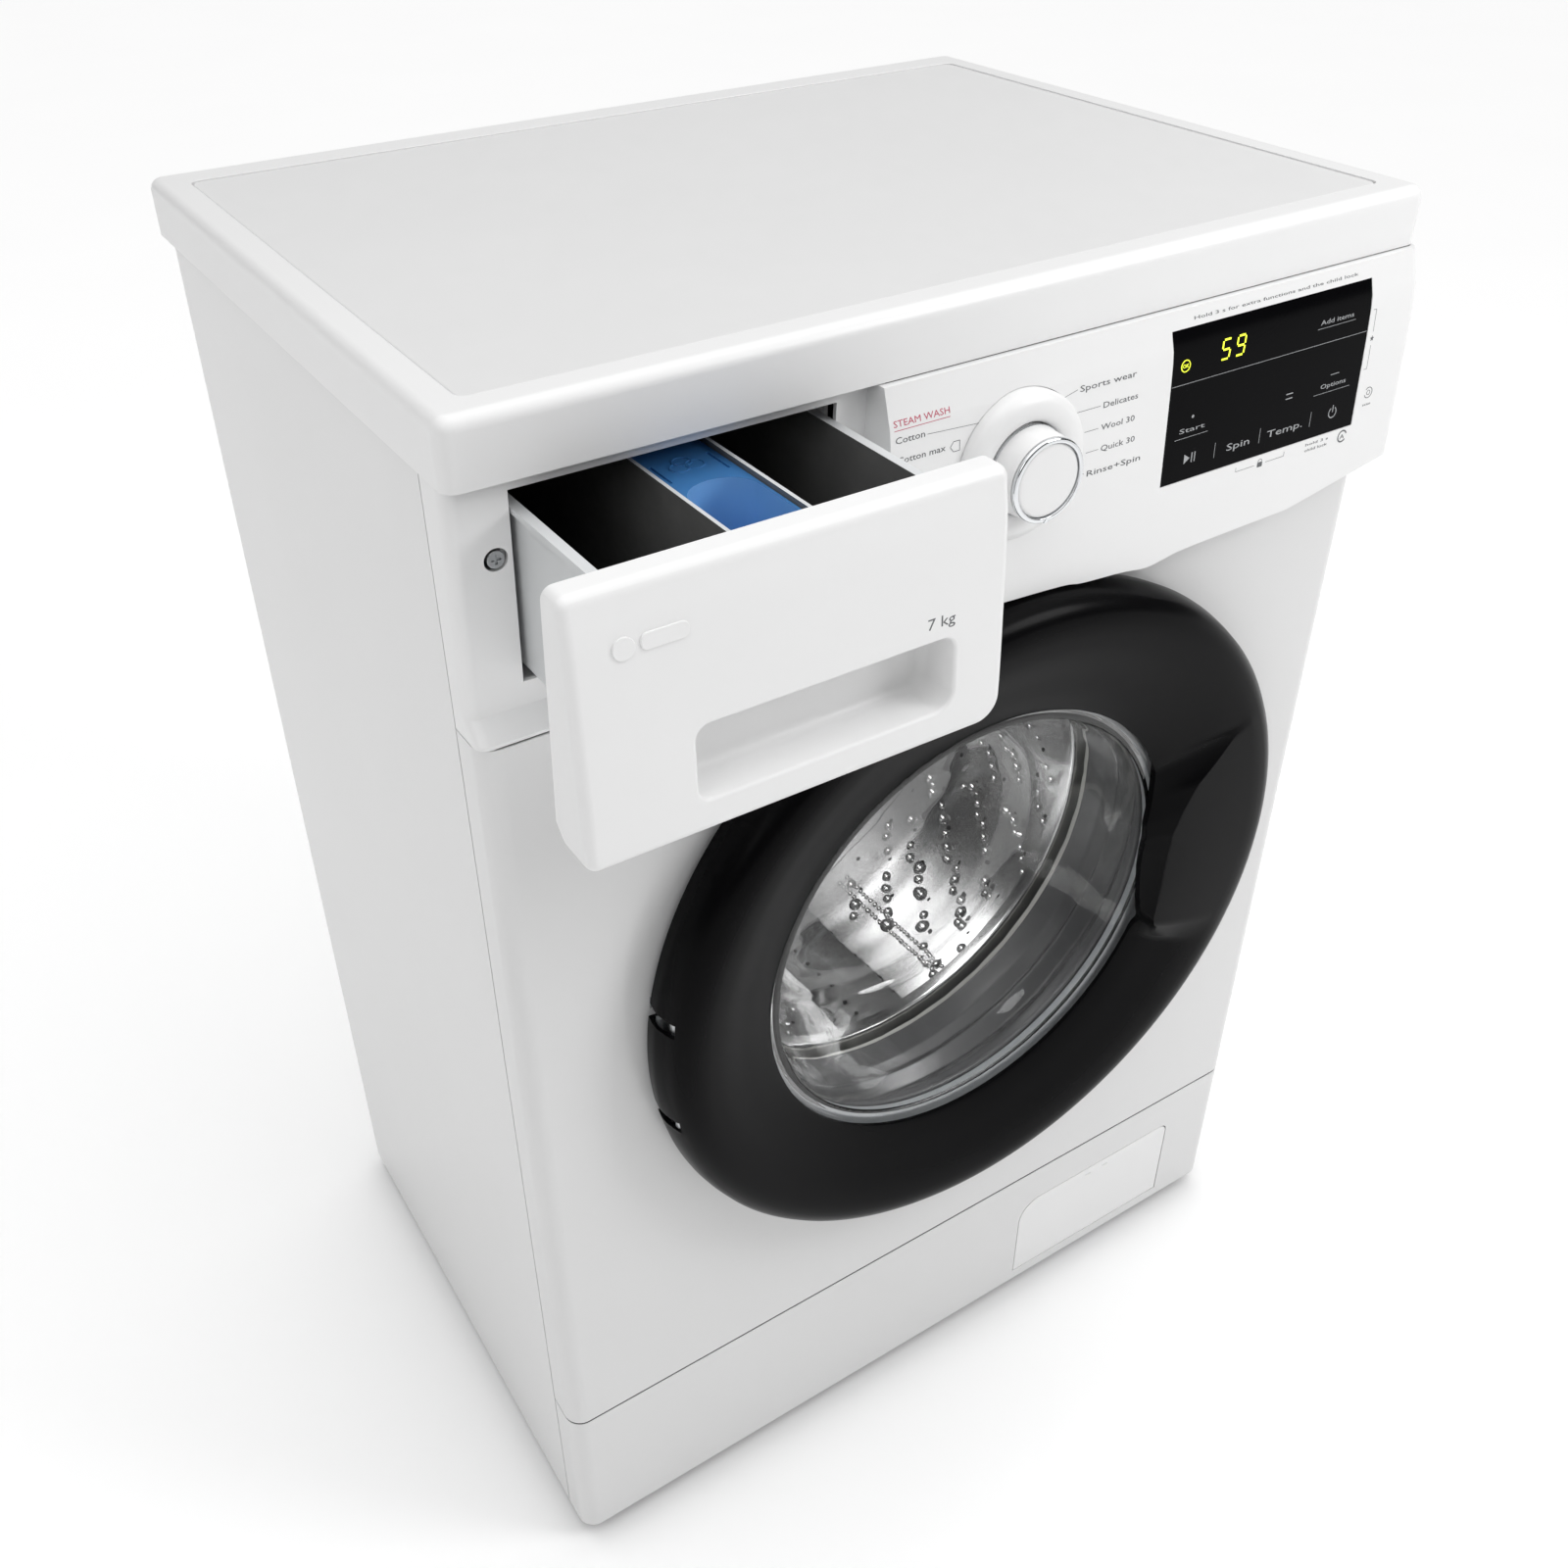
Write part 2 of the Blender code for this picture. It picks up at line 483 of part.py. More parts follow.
def make_hinge_bracket():
    bracket = block("hinge_bracket", (HINGE_X - 0.0070, 0.0070, DOOR_Z - 0.055), (-0.183, 0.0090, DOOR_Z + 0.055))
    for side in (-1, 1):
        z = DOOR_Z + side * HINGE_ARM_Z
        join(bracket, block(f"hinge_arm_{side}", (HINGE_X - 0.0025, HINGE_Y, z - 0.003),
                            (HINGE_X + 0.0025, 0.0080, z + 0.003)))
        eye = [(0, z - 0.003), (0.0036, z - 0.003), (0.0036, z + 0.003), (0, z + 0.003)]
        join(bracket, turned(f"hinge_eye_{side}", eye, (HINGE_X, HINGE_Y, 0), 14, "z"))
    for side in (-1, 1):
        z = DOOR_Z + side * HINGE_ARM_Z
        bore = [(0, z - 0.008), (0.0019, z - 0.008), (0.0019, z + 0.008), (0, z + 0.008)]
        cut(bracket, turned(f"hinge_bore_{side}", bore, (HINGE_X, HINGE_Y, 0), 12, "z"))
    place(bracket, STEEL)


def make_door_lock():
    lock = block("door_lock", (HOOK_X - 0.015, 0.0070, DOOR_Z - 0.045), (HOOK_X + 0.015, 0.0380, DOOR_Z + 0.045))
    cut(lock, block("lock_mouth", (HOOK_X - 0.011, 0.0, DOOR_Z - 0.030), (HOOK_X + 0.011, 0.0345, DOOR_Z + 0.030)))
    place(lock, GREY_PLASTIC, round_shape=False)


def make_gasket():
    middle = (0, 0, DOOR_Z)
    profile = [(0.1490, 0.0020), (0.1624, 0.0020), (0.1624, 0.0140), (0.1750, 0.0210), (0.1750, 0.0290),
               (0.1660, 0.0380), (0.1785, 0.0460), (0.1718, 0.0580), (0.1718, 0.0740), (0.1688, 0.0740),
               (0.1688, 0.0560), (0.1745, 0.0475), (0.1622, 0.0385), (0.1715, 0.0285), (0.1590, 0.0165),
               (0.1590, 0.0065), (0.1490, 0.0060)]
    place(turned("gasket", profile, middle, 36), RUBBER)
    turns = [2 * pi * i / 6 for i in range(6)]
    wire = [(0.1645 + 0.0011 * cos(t), 0.0090 + 0.0011 * sin(t)) for t in turns]
    place(turned("gasket_clamp", wire, middle, 36), STEEL)


# ---- drum and tub ----
def make_drum():
    middle = (0, 0, DOOR_Z)
    shell = [(0.1650, 0.0950), (0.1650, 0.0838), (0.2300, 0.0838), (DRUM_R, 0.0925), (DRUM_R, 0.2975),
             (0.2365, 0.2975), (0.2365, 0.0935), (0.2290, 0.0858), (0.1668, 0.0858), (0.1668, 0.0950)]
    place(turned("drum_shell", shell, middle, 40), STAINLESS, middle)
    back = [(0, 0.2900), (0.0700, 0.2900), (0.0860, 0.2980), (DRUM_R, 0.2980), (DRUM_R, 0.2998), (0.0850, 0.2998),
            (0.0690, 0.2918), (0, 0.2918)]
    place(turned("drum_back", back, middle, 40), STAINLESS, middle)
    place(extruded("drum_spider", spider_outline(), "y", 0.3001, 0.3058), ALUMINIUM, middle)
    shaft = [(0, 0.3062), (0.0150, 0.3062), (0.0150, 0.3704), (0.0080, 0.3704), (0.0080, 0.3860), (0, 0.3860)]
    place(turned("drum_shaft", shaft, middle, 20), STEEL, middle)
    rotor = [(0.1400, 0.3280), (0.1400, 0.3740), (0.0083, 0.3740), (0.0083, 0.3708), (0.1365, 0.3708), (0.1365, 0.3280)]
    place(turned("rotor", rotor, middle, 30), STEEL, middle)
    for number, angle in enumerate(LIFTER_ANGLES, 1):
        make_lifter(f"lifter_{number}", radians(angle))


def spider_outline():
    """Hub and three tapered arms, as (x, z)."""
    outline = []
    for middle in LIFTER_ANGLES:
        for r, half in ((0.050, 0.40), (0.215, 0.07), (0.222, 0.0), (0.215, -0.07), (0.050, -0.40)):
            angle = radians(middle) - half
            outline.append((r * cos(angle), DOOR_Z + r * sin(angle)))
    return outline


def rib(name, angle, wall, foot_r):
    """A tapered rib along the drum: wide at its foot, narrow at its crest; wall makes it smaller."""
    # along the drum, half width at the foot, half width at the crest, crest radius
    sections = [(0.096, 0.029, 0.024, 0.2300), (0.104, 0.029, 0.011, 0.1960), (0.276, 0.029, 0.011, 0.1900),
                (0.288, 0.029, 0.024, 0.2300)]
    bm = bmesh.new()
    rings = []
    for i, (y, half_foot, half_crest, crest_r) in enumerate(sections):
        y += wall if i < 2 else -wall
        flat = [(foot_r, wall - half_foot), (foot_r, half_foot - wall), (crest_r + wall, half_crest - wall),
                (crest_r + wall, wall - half_crest)]
        rings.append([bm.verts.new((r * cos(angle) - t * sin(angle), y, DOOR_Z + r * sin(angle) + t * cos(angle)))
                      for r, t in flat])
    for near, far in zip(rings, rings[1:]):
        for i in range(4):
            bm.faces.new((near[i], near[(i + 1) % 4], far[(i + 1) % 4], far[i]))
    bm.faces.new(rings[0])
    bm.faces.new(rings[-1])
    return mesh_object(name, bm)


def make_lifter(name, angle):
    lifter = rib(name, angle, 0.0, 0.2330)
    cut(lifter, rib(name + "_hollow", angle, 0.0020, 0.2400))
    place(lifter, STAINLESS, (0, 0, DOOR_Z))


def make_tub():
    middle = (0, 0, DOOR_Z)
    front = [(0.1765, 0.0580), (0.1765, 0.0755), (0.2500, 0.0755), (TUB_R, 0.0870), (TUB_R, 0.1890),
             (0.2580, 0.1890), (0.2580, 0.0885), (0.2490, 0.0795), (0.1725, 0.0795), (0.1725, 0.0580)]
    place(turned("tub_front", front, middle, 36), TUB_PLASTIC)
    rear = [(TUB_R, 0.1895), (TUB_R, 0.3060), (0.2570, 0.3110), (0.0520, 0.3110), (0.0520, 0.3500), (0.0268, 0.3500),
            (0.0268, 0.3385), (0.0200, 0.3385), (0.0200, 0.3300), (0.0315, 0.3300), (0.0315, 0.3070),
            (0.2535, 0.3070), (0.2580, 0.3025), (0.2580, 0.1895)]
    tub = turned("tub_rear", rear, middle, 36)
    for side in (-1, 1):
        x0, x1 = sorted((side * 0.2000, side * (SPRING_X + 0.0045)))
        join(tub, block(f"spring_lug_{side}", (x0, SPRING_Y - 0.005, 0.610), (x1, SPRING_Y + 0.005, 0.622)))
    place(tub, TUB_PLASTIC)
    place(turned("counterweight_front", [(0.190, 0.0460), (0.252, 0.0460), (0.252, 0.0745), (0.190, 0.0745)],
                 middle, 36), CAST_IRON)
    place(block("counterweight_top", (-0.080, 0.120, 0.7115), (0.120, 0.260, 0.7515)), CAST_IRON, round_shape=False)
    place(turned("bearing_front", [(0.0155, 0.3135), (0.0310, 0.3135), (0.0310, 0.3295), (0.0155, 0.3295)],
                 middle, 20), STEEL)
    place(turned("bearing_rear", [(0.0155, 0.3389), (0.0263, 0.3389), (0.0263, 0.3495), (0.0155, 0.3495)],
                 middle, 20), STEEL)
    place(turned("stator", [(0.0560, 0.3150), (0.1315, 0.3150), (0.1315, 0.3480), (0.0560, 0.3480)],
                 middle, 28), COPPER)
    place(tube("heater", heater_line(), 0.0038, 1), STEEL)


def heater_line():
    """A hairpin under the drum: down one side, round the end, back up the other."""
    half, z, near, far = 0.030, DOOR_Z - 0.2478, 0.130, 0.262
    bend = [(half * cos(pi * i / 8), near - half * 0.6 * sin(pi * i / 8), z) for i in range(9)]
    return [(half, far, z)] + bend + [(-half, far, z)]


def make_suspension():
    for name, side in (("left", -1), ("right", 1)):
        turns, low, high, radius = 7, 0.6242, 0.780, 0.0080
        steps = turns * 8
        helix = [(side * SPRING_X + radius * cos(2 * pi * i / 8), SPRING_Y + radius * sin(2 * pi * i / 8),
                  low + (high - low) * i / steps) for i in range(steps + 1)]
        place(tube("spring_" + name, helix, 0.0015, 0), STEEL)
        base = Vector((side * 0.205, 0.190, 0.040))
        lean = Matrix.Rotation(-side * DAMPER_TILT, 4, "Y")
        sleeve = [(0, 0), (0.0140, 0), (0.0140, 0.0950), (0.0095, 0.0950), (0.0095, 0.0060), (0, 0.0060)]
        rod = [(0, 0.0300), (0.0060, 0.0300), (0.0060, 0.1800), (0.0095, 0.1830), (0.0095, 0.1920), (0, 0.1920)]
        for part, profile, stuff in (("damper_sleeve_", sleeve, GREY_PLASTIC), ("damper_rod_", rod, STEEL)):
            obj = turned(part + name, profile, (0, 0, 0), 14, "z")
            obj.data.transform(Matrix.Translation(base) @ lean)
            place(obj, stuff)


# ---- water path ----
def make_dispenser_box():
    x0, x1, z0, z1 = TRAY
    box = block("dispenser_box", (x0 - 0.006, 0.0200, z0 - 0.008), (x1 + 0.0035, 0.300, 0.8105))
    cut(box, block("dispenser_hollow", (x0 - 0.004, 0.0, z0 - 0.006), (x1 + 0.0015, 0.298, 0.8088)))
    cut(box, turned("dispenser_outlet", [(0, 0.69), (0.016, 0.69), (0.016, 0.71), (0, 0.71)], (-0.190, 0.240, 0), 20, "z"))
    place(box, WHITE_PLASTIC, round_shape=False)


def make_hoses():
    top = [(-0.190, 0.240, 0.7033), (-0.189, 0.240, 0.690), (-0.186, 0.240, 0.674), (-0.182, 0.240, 0.6600)]
    place(tube("dispenser_hose", top, 0.015, 2), RUBBER)
    drain = [(0.060, 0.140, 0.1860), (0.062, 0.139, 0.165), (0.070, 0.135, 0.143), (0.086, 0.128, 0.122),
             (0.103, 0.120, 0.106), (0.1165, 0.113, 0.098)]
    place(tube("drain_hose", drain, 0.012, 2), RUBBER)


def make_pump():
    middle = (FILTER_X, 0, FILTER_Z)
    pump = [(0.0285, 0.0300), (0.0330, 0.0300), (0.0330, 0.0800), (0.0270, 0.0850), (0.0270, 0.1350), (0, 0.1350),
            (0, 0.0780), (0.0285, 0.0780)]
    place(turned("drain_pump", pump, middle, 24), GREY_PLASTIC)
    cap = [(0, 0.0110), (0.0290, 0.0110), (0.0310, 0.0130), (0.0310, 0.0290), (0.0240, 0.0290), (0.0240, 0.0740),
           (0, 0.0740)]
    filter_cap = turned("filter_cap", cap, middle, 24)
    for side in (-1, 1):
        x0, x1 = sorted((FILTER_X + side * 0.0050, FILTER_X + side * 0.022))
        cut(filter_cap, block(f"cap_grip_{side}", (x0, 0.0, FILTER_Z - 0.018), (x1, 0.0200, FILTER_Z + 0.018)))
    place(filter_cap, BLUE_PLASTIC, middle)


# ---- dispenser drawer, pulled out ----
def make_drawer_front():
    x0, x1 = -0.2983, RECESS_X - 0.0015
    slack = DRAWER_OUT + 0.0012
    seat = [(RECESS_FACE[0][0] - slack, 0.8120), (RECESS_FACE[1][0] - slack, 0.6995), (-0.0875, 0.6880)]
    outer = [(DRAWER_FACE, 0.6925), (DRAWER_FACE, 0.7100), (-0.1037, 0.7440), (-0.1013, 0.7900), (-0.0985, 0.8050),
             (-0.0960, 0.8120), (-0.0930, 0.8143), (seat[0][0], 0.8090), seat[1], seat[2], (-0.1005, 0.6880)]
    front = extruded("drawer_front", outer, "x", x0, x1)
    wall = 0.0026
    hollow = [(DRAWER_FACE + wall, 0.6910), (DRAWER_FACE + wall, 0.7110), (-0.1011, 0.7440), (-0.0987, 0.7900),
              (-0.0960, 0.8045), (-0.0925, 0.8110), (-0.0500, 0.7950), (-0.0500, 0.6910)]
    cut(front, extruded("drawer_hollow", hollow, "x", x0 + wall, x1 - wall))
    neck = [(-0.0870, 0.8098), (-0.0664, 0.8020), (-0.0664, 0.7985), (-0.0870, 0.8065)]
    join(front, extruded("drawer_neck", neck, "x", TRAY[0] + 0.0005, TRAY[1] - 0.0005))
    join(front, block("pocket_box", (-0.2475, -0.1030, 0.7025), (-0.1095, -0.0785, 0.7445)))
    pocket = rounded(-0.245, -0.112, 0.705, 0.742, (0.006, 0.006, 0.012, 0.018))
    cut(front, extruded("handle_pocket", pocket, "y", -0.12, -0.0810))
    corner = [(x1 - 0.013, 0.68), (x1 + 0.01, 0.68), (x1 + 0.01, 0.701)]
    arc = [(x1 - 0.013 + 0.013 * sin(t), 0.701 - 0.013 * cos(t)) for t in (pi / 2, pi / 3, pi / 6, 0)]
    cut(front, extruded("drawer_corner", corner + arc, "y", -0.12, 0.0))
    place(front, WHITE_PLASTIC)


def make_drawer_tray():
    x0, x1, z0, z1 = TRAY
    near, length, wall = -0.0660, 0.260, 0.0020
    tray = block("drawer_tray", (x0, near, z0), (x1, near + length, z1))
    edges = (x0 + wall, *TRAY_WALLS, x1 - wall)
    for i in range(3):
        low_x = edges[i] + (0.001 if i else 0)
        high_x = edges[i + 1] - (0.001 if i < 2 else 0)
        cut(tray, block(f"compartment_{i}", (low_x, near + wall, z0 + wall), (high_x, near + length - wall, z1 + 0.02)))
    cut(tray, block("tray_back_dip", (x0 - 0.01, near + 0.225, z0 + 0.040), (x1 + 0.01, near + 0.30, z1 + 0.02)))
    place(tray, TRAY_PLASTIC, round_shape=False)

    low_x, high_x = TRAY_WALLS[0] + 0.0015, TRAY_WALLS[1] - 0.0015
    cup = block("softener_cup", (low_x, near + wall + 0.0005, 0.722), (high_x, 0.085, 0.7975))
    cut(cup, block("cup_well", (low_x + 0.0018, near + wall + 0.0025, 0.724), (high_x - 0.0018, -0.008, 0.81)))
    cut(cup, block("cup_underside", (low_x + 0.0018, -0.006, 0.71), (high_x - 0.0018, 0.083, 0.7950)))
    place(cup, BLUE_PLASTIC, round_shape=False)


make_cabinet_wrap()
make_front_panel()
make_kick_plate()
make_service_flap()
make_control_panel()
make_display_window()
make_knob()
make_control_board()
make_lid()
make_rear_fittings()
make_base()
make_door()
make_hinge_bracket()
make_door_lock()
make_gasket()
make_drum()
make_tub()
make_suspension()
make_dispenser_box()
make_hoses()
make_pump()
make_drawer_front()
make_drawer_tray()
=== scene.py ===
# Front load washing machine: the looks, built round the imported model.
# X runs to the right, Y from front to back, Z up, in metres.

import json
import random
from math import atan2, cos, degrees, hypot, pi, radians, sin

import bmesh
import bpy
from mathutils import Matrix, Vector


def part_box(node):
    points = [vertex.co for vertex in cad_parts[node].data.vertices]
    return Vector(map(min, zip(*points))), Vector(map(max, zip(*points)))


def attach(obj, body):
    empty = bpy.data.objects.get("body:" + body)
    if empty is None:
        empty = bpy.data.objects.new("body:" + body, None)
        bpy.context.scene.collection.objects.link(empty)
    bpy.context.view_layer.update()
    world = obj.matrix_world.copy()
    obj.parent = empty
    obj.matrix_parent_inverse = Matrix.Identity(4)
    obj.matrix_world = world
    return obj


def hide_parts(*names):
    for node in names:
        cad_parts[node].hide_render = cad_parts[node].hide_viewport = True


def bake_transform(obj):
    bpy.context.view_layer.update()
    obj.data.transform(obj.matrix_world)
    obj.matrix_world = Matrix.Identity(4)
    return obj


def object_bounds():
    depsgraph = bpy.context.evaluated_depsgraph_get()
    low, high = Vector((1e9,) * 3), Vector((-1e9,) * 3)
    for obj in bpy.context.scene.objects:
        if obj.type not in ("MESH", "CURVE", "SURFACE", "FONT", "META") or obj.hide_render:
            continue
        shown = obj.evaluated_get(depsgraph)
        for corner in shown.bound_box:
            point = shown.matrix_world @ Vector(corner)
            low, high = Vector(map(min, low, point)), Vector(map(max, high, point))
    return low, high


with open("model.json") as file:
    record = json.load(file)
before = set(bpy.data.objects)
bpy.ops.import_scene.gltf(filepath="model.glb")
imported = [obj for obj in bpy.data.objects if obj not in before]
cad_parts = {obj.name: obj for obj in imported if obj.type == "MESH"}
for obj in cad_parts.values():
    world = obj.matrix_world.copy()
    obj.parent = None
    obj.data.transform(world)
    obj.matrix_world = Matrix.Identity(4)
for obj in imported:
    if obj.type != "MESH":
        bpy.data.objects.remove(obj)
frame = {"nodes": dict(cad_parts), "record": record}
cadLow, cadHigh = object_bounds()
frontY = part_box("top_frame")[0].y      # front edge of the lid: the depths below count from it
doorMiddle = (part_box("door_ring")[0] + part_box("door_ring")[1]) / 2
hingeArm = 0.038                       # height of each hinge arm above or below the door's middle


def at(x, y, z):
    return Vector((x, y + frontY, z))


def axisPoint():
    return at(0, 0, doorMiddle.z)


# selecting and shaping
def deselectAll():
    if bpy.context.object and bpy.context.object.mode != "OBJECT":
        bpy.ops.object.mode_set(mode="OBJECT")
    bpy.ops.object.select_all(action="DESELECT")


def activate(piece):
    deselectAll()
    piece.select_set(True)
    bpy.context.view_layer.objects.active = piece


def openEdit(piece, kind):             # kind is VERT, EDGE or FACE
    activate(piece)
    bpy.ops.object.mode_set(mode="EDIT")
    bpy.ops.mesh.select_mode(type=kind)
    bpy.ops.mesh.select_all(action="DESELECT")


def closeEdit():
    bpy.ops.object.mode_set(mode="OBJECT")


def spots(item):                       # the corners of a vertex, edge or face, depths from the lid's front
    corners = [item] if isinstance(item, bmesh.types.BMVert) else item.verts
    return [Vector((v.co.x, v.co.y - frontY, v.co.z)) for v in corners]


def pick(piece, kind, test):           # kind is verts, edges or faces; test reads the list of corners
    mesh = bmesh.from_edit_mesh(piece.data)
    for item in getattr(mesh, kind):
        if test(spots(item)):
            item.select_set(True)
    mesh.select_flush_mode()
    bmesh.update_edit_mesh(piece.data)


def bevelWhere(piece, test, width, segments):
    openEdit(piece, "EDGE")
    pick(piece, "edges", test)
    bpy.ops.mesh.bevel(offset=width, segments=segments, profile=0.5, affect="EDGES")
    closeEdit()


def editAll(piece, operator, kind="FACE", **settings):
    openEdit(piece, kind)
    bpy.ops.mesh.select_all(action="SELECT")
    operator(**settings)
    closeEdit()


def sliceAt(piece, heights):
    for z in heights:
        editAll(piece, bpy.ops.mesh.bisect, "VERT", plane_co=(0, 0, z), plane_no=(0, 0, 1))


# tests for pick and bevelWhere
def upright(ends):
    return abs(ends[0].z - ends[1].z) > 0.003 and (ends[0] - ends[1]).to_2d().length < 0.00001


def above(z):
    return lambda ends: all(e.z > z for e in ends)


def below(z):
    return lambda ends: all(e.z < z for e in ends)


def behind(y):
    return lambda ends: all(e.y > y for e in ends)


def ahead(y):
    return lambda ends: all(e.y < y for e in ends)


# modifiers and booleans


def applied(piece, kind, **settings):
    activate(piece)
    step = piece.modifiers.new(kind.title(), kind)
    for name, value in settings.items():
        setattr(step, name, value)
    bpy.ops.object.modifier_apply(modifier=step.name)
    return piece


def softEdges(piece, width, segments=2, angle=35):
    applied(piece, "BEVEL", width=width, segments=segments, limit_method="ANGLE",
            angle_limit=radians(angle), use_clamp_overlap=True)
    return piece


def cutAway(piece, *cutters):
    for cutter in cutters:
        applied(piece, "BOOLEAN", operation="DIFFERENCE", object=cutter, solver="EXACT")
        bpy.data.objects.remove(cutter)
    return piece


def joinOn(piece, *others):
    for other in others:
        applied(piece, "BOOLEAN", operation="UNION", object=other, solver="EXACT")
        bpy.data.objects.remove(other)
    return piece


def gather(name, pieces):              # several closed shells in one piece
    deselectAll()
    for part in pieces:
        part.select_set(True)
    bpy.context.view_layer.objects.active = pieces[0]
    if len(pieces) > 1:
        bpy.ops.object.join()
    bpy.context.object.name = name
    return bpy.context.object


def addBlock(name, low, high):
    deselectAll()
    bpy.ops.mesh.primitive_cube_add(size=1, location=(low + high) / 2)
    piece = bpy.context.object
    piece.name = name
    piece.scale = high - low
    bpy.ops.object.transform_apply(location=True, rotation=True, scale=True)
    return piece


def crossCut(head, x, z, reach, width, near, far):     # the slots of a crosshead screw
    for across, tall in ((reach, width), (width, reach)):
        cutAway(head, addBlock("cross", at(x - across, near, z - tall), at(x + across, far, z + tall)))


def drawLine(name, points, closed):    # leaves the new line open for editing
    deselectAll()
    bpy.ops.mesh.primitive_plane_add(size=0.001, location=points[0])
    piece = bpy.context.object
    piece.name = name
    bpy.ops.object.transform_apply(location=True, rotation=True, scale=True)
    bpy.ops.object.mode_set(mode="EDIT")
    bpy.ops.mesh.select_mode(type="VERT")
    bpy.ops.mesh.select_all(action="SELECT")
    bpy.ops.mesh.merge(type="CENTER")
    for here, there in zip(points, points[1:]):
        bpy.ops.mesh.extrude_vertices_move(TRANSFORM_OT_translate={"value": there - here})
    if closed:
        mesh = bmesh.from_edit_mesh(piece.data)
        mesh.verts.ensure_lookup_table()
        mesh.verts[0].select_set(True)
        bmesh.update_edit_mesh(piece.data)
        bpy.ops.mesh.edge_face_add()
    bpy.ops.mesh.select_all(action="SELECT")
    return piece


def pushOut(name, outline, travel):    # a flat closed outline, pushed into a solid
    piece = drawLine(name, outline, True)
    bpy.ops.mesh.edge_face_add()
    bpy.ops.mesh.extrude_region_move(TRANSFORM_OT_translate={"value": Vector(travel)})
    bpy.ops.mesh.select_all(action="SELECT")
    bpy.ops.mesh.normals_make_consistent(inside=False)
    closeEdit()
    return piece


def turned(name, profile, middle, steps=96, upwards=False):
    # a (radius, distance) outline spun round the Y axis, or round Z when upwards
    along = Vector((0, 0, 1)) if upwards else Vector((0, 1, 0))
    points = [middle + Vector((r, 0, 0)) + along * d for r, d in profile]
    piece = drawLine(name, points, not (profile[0][0] == 0 and profile[-1][0] == 0))
    bpy.ops.mesh.spin(steps=steps, angle=2 * pi, center=middle, axis=along)
    bpy.ops.mesh.select_all(action="SELECT")
    bpy.ops.mesh.remove_doubles(threshold=0.00001)
    bpy.ops.mesh.normals_make_consistent(inside=False)
    closeEdit()
    return piece


def softened(points, radius, steps=4, closed=True):
    # every corner of an outline becomes a short curve that starts radius away from it
    smooth = []
    count = len(points)
    for i, corner in enumerate(points):
        if not closed and i in (0, count - 1):
            smooth.append(tuple(corner))
            continue
        corner, before, after = Vector(corner), Vector(points[i - 1]), Vector(points[(i + 1) % count])
        start = corner + (before - corner).normalized() * min(radius, (before - corner).length * 0.45)
        end = corner + (after - corner).normalized() * min(radius, (after - corner).length * 0.45)
        for k in range(steps + 1):
            t = k / steps
            smooth.append(tuple(start * (1 - t) ** 2 + corner * 2 * t * (1 - t) + end * t * t))
    return smooth


def flowing(points, perSpan=4):        # a smooth curve through every point
    line = []
    for i in range(len(points) - 1):
        a = Vector(points[max(i - 1, 0)])
        b, c = Vector(points[i]), Vector(points[i + 1])
        d = Vector(points[min(i + 2, len(points) - 1)])
        for k in range(perSpan):
            t = k / perSpan
            line.append(tuple(0.5 * (2 * b + (c - a) * t + (2 * a - 5 * b + 4 * c - d) * t ** 2
                                     + (3 * b - a - 3 * c + d) * t ** 3)))
    return line + [tuple(points[-1])]


def roundedOutline(x0, x1, z0, z1, radii, steps=6):
    # radii from the low left corner, anticlockwise seen from the front
    points = []
    for (x, z, start), r in zip([(x0, z0, 180), (x1, z0, 270), (x1, z1, 0), (x0, z1, 90)], radii):
        middle = (x + (r if x == x0 else -r), z + (r if z == z0 else -r))
        for i in range(steps + 1):
            turn = radians(start + 90 * i / steps)
            points.append((middle[0] + r * cos(turn), middle[1] + r * sin(turn)))
    return points


def onFront(outline, y):               # (x, z) pairs stood up at one depth
    return [at(x, y, z) for x, z in outline]


def fresh(name, node):                 # a merged copy of a CAD node, free to be changed
    source = frame["nodes"][node]
    piece = bpy.data.objects.new(name, source.data.copy())
    piece.data.materials.clear()
    bpy.context.collection.objects.link(piece)
    openEdit(piece, "VERT")
    bpy.ops.mesh.select_all(action="SELECT")
    bpy.ops.mesh.remove_doubles(threshold=0.00001)
    bpy.ops.mesh.dissolve_limited(angle_limit=radians(0.5))
    closeEdit()
    return piece


# materials
def linear(code):                      # sRGB hex to linear colour
    parts = [int(code[i:i + 2], 16) / 255 for i in (1, 3, 5)]
    return (*[p / 12.92 if p <= 0.04045 else ((p + 0.055) / 1.055) ** 2.4 for p in parts], 1)


def addNode(tree, kind, inputs=None, **settings):
    node = tree.nodes.new(kind)
    for name, value in settings.items():
        setattr(node, name, value)
    for name, value in (inputs or {}).items():
        if isinstance(value, bpy.types.NodeSocket):
            tree.links.new(value, node.inputs[name])
        else:
            node.inputs[name].default_value = value
    return node


def startMaterial(name, **sockets):
    material = bpy.data.materials.new(name)
    material.use_nodes = True
    tree = material.node_tree
    shader = tree.nodes["Principled BSDF"]
    for socket, value in sockets.items():
        shader.inputs[socket.replace("_", " ")].default_value = value
    place = addNode(tree, "ShaderNodeTexCoord").outputs["Object"]
    return material, tree, shader, place


def noise(tree, place, millimetres, detail, **inputs):
    settings = {"Vector": place, "Scale": 1000 / millimetres, "Detail": detail, **inputs}
    return addNode(tree, "ShaderNodeTexNoise", settings).outputs["Fac"]


def toned(tree, factor, tones, *sockets):   # mixes two tones into each socket
    mix = addNode(tree, "ShaderNodeMix", {"Factor": factor}, data_type="RGBA")
    mix.inputs["A"].default_value, mix.inputs["B"].default_value = [linear(tone) for tone in tones]
    for socket in sockets:
        tree.links.new(mix.outputs["Result"], socket)


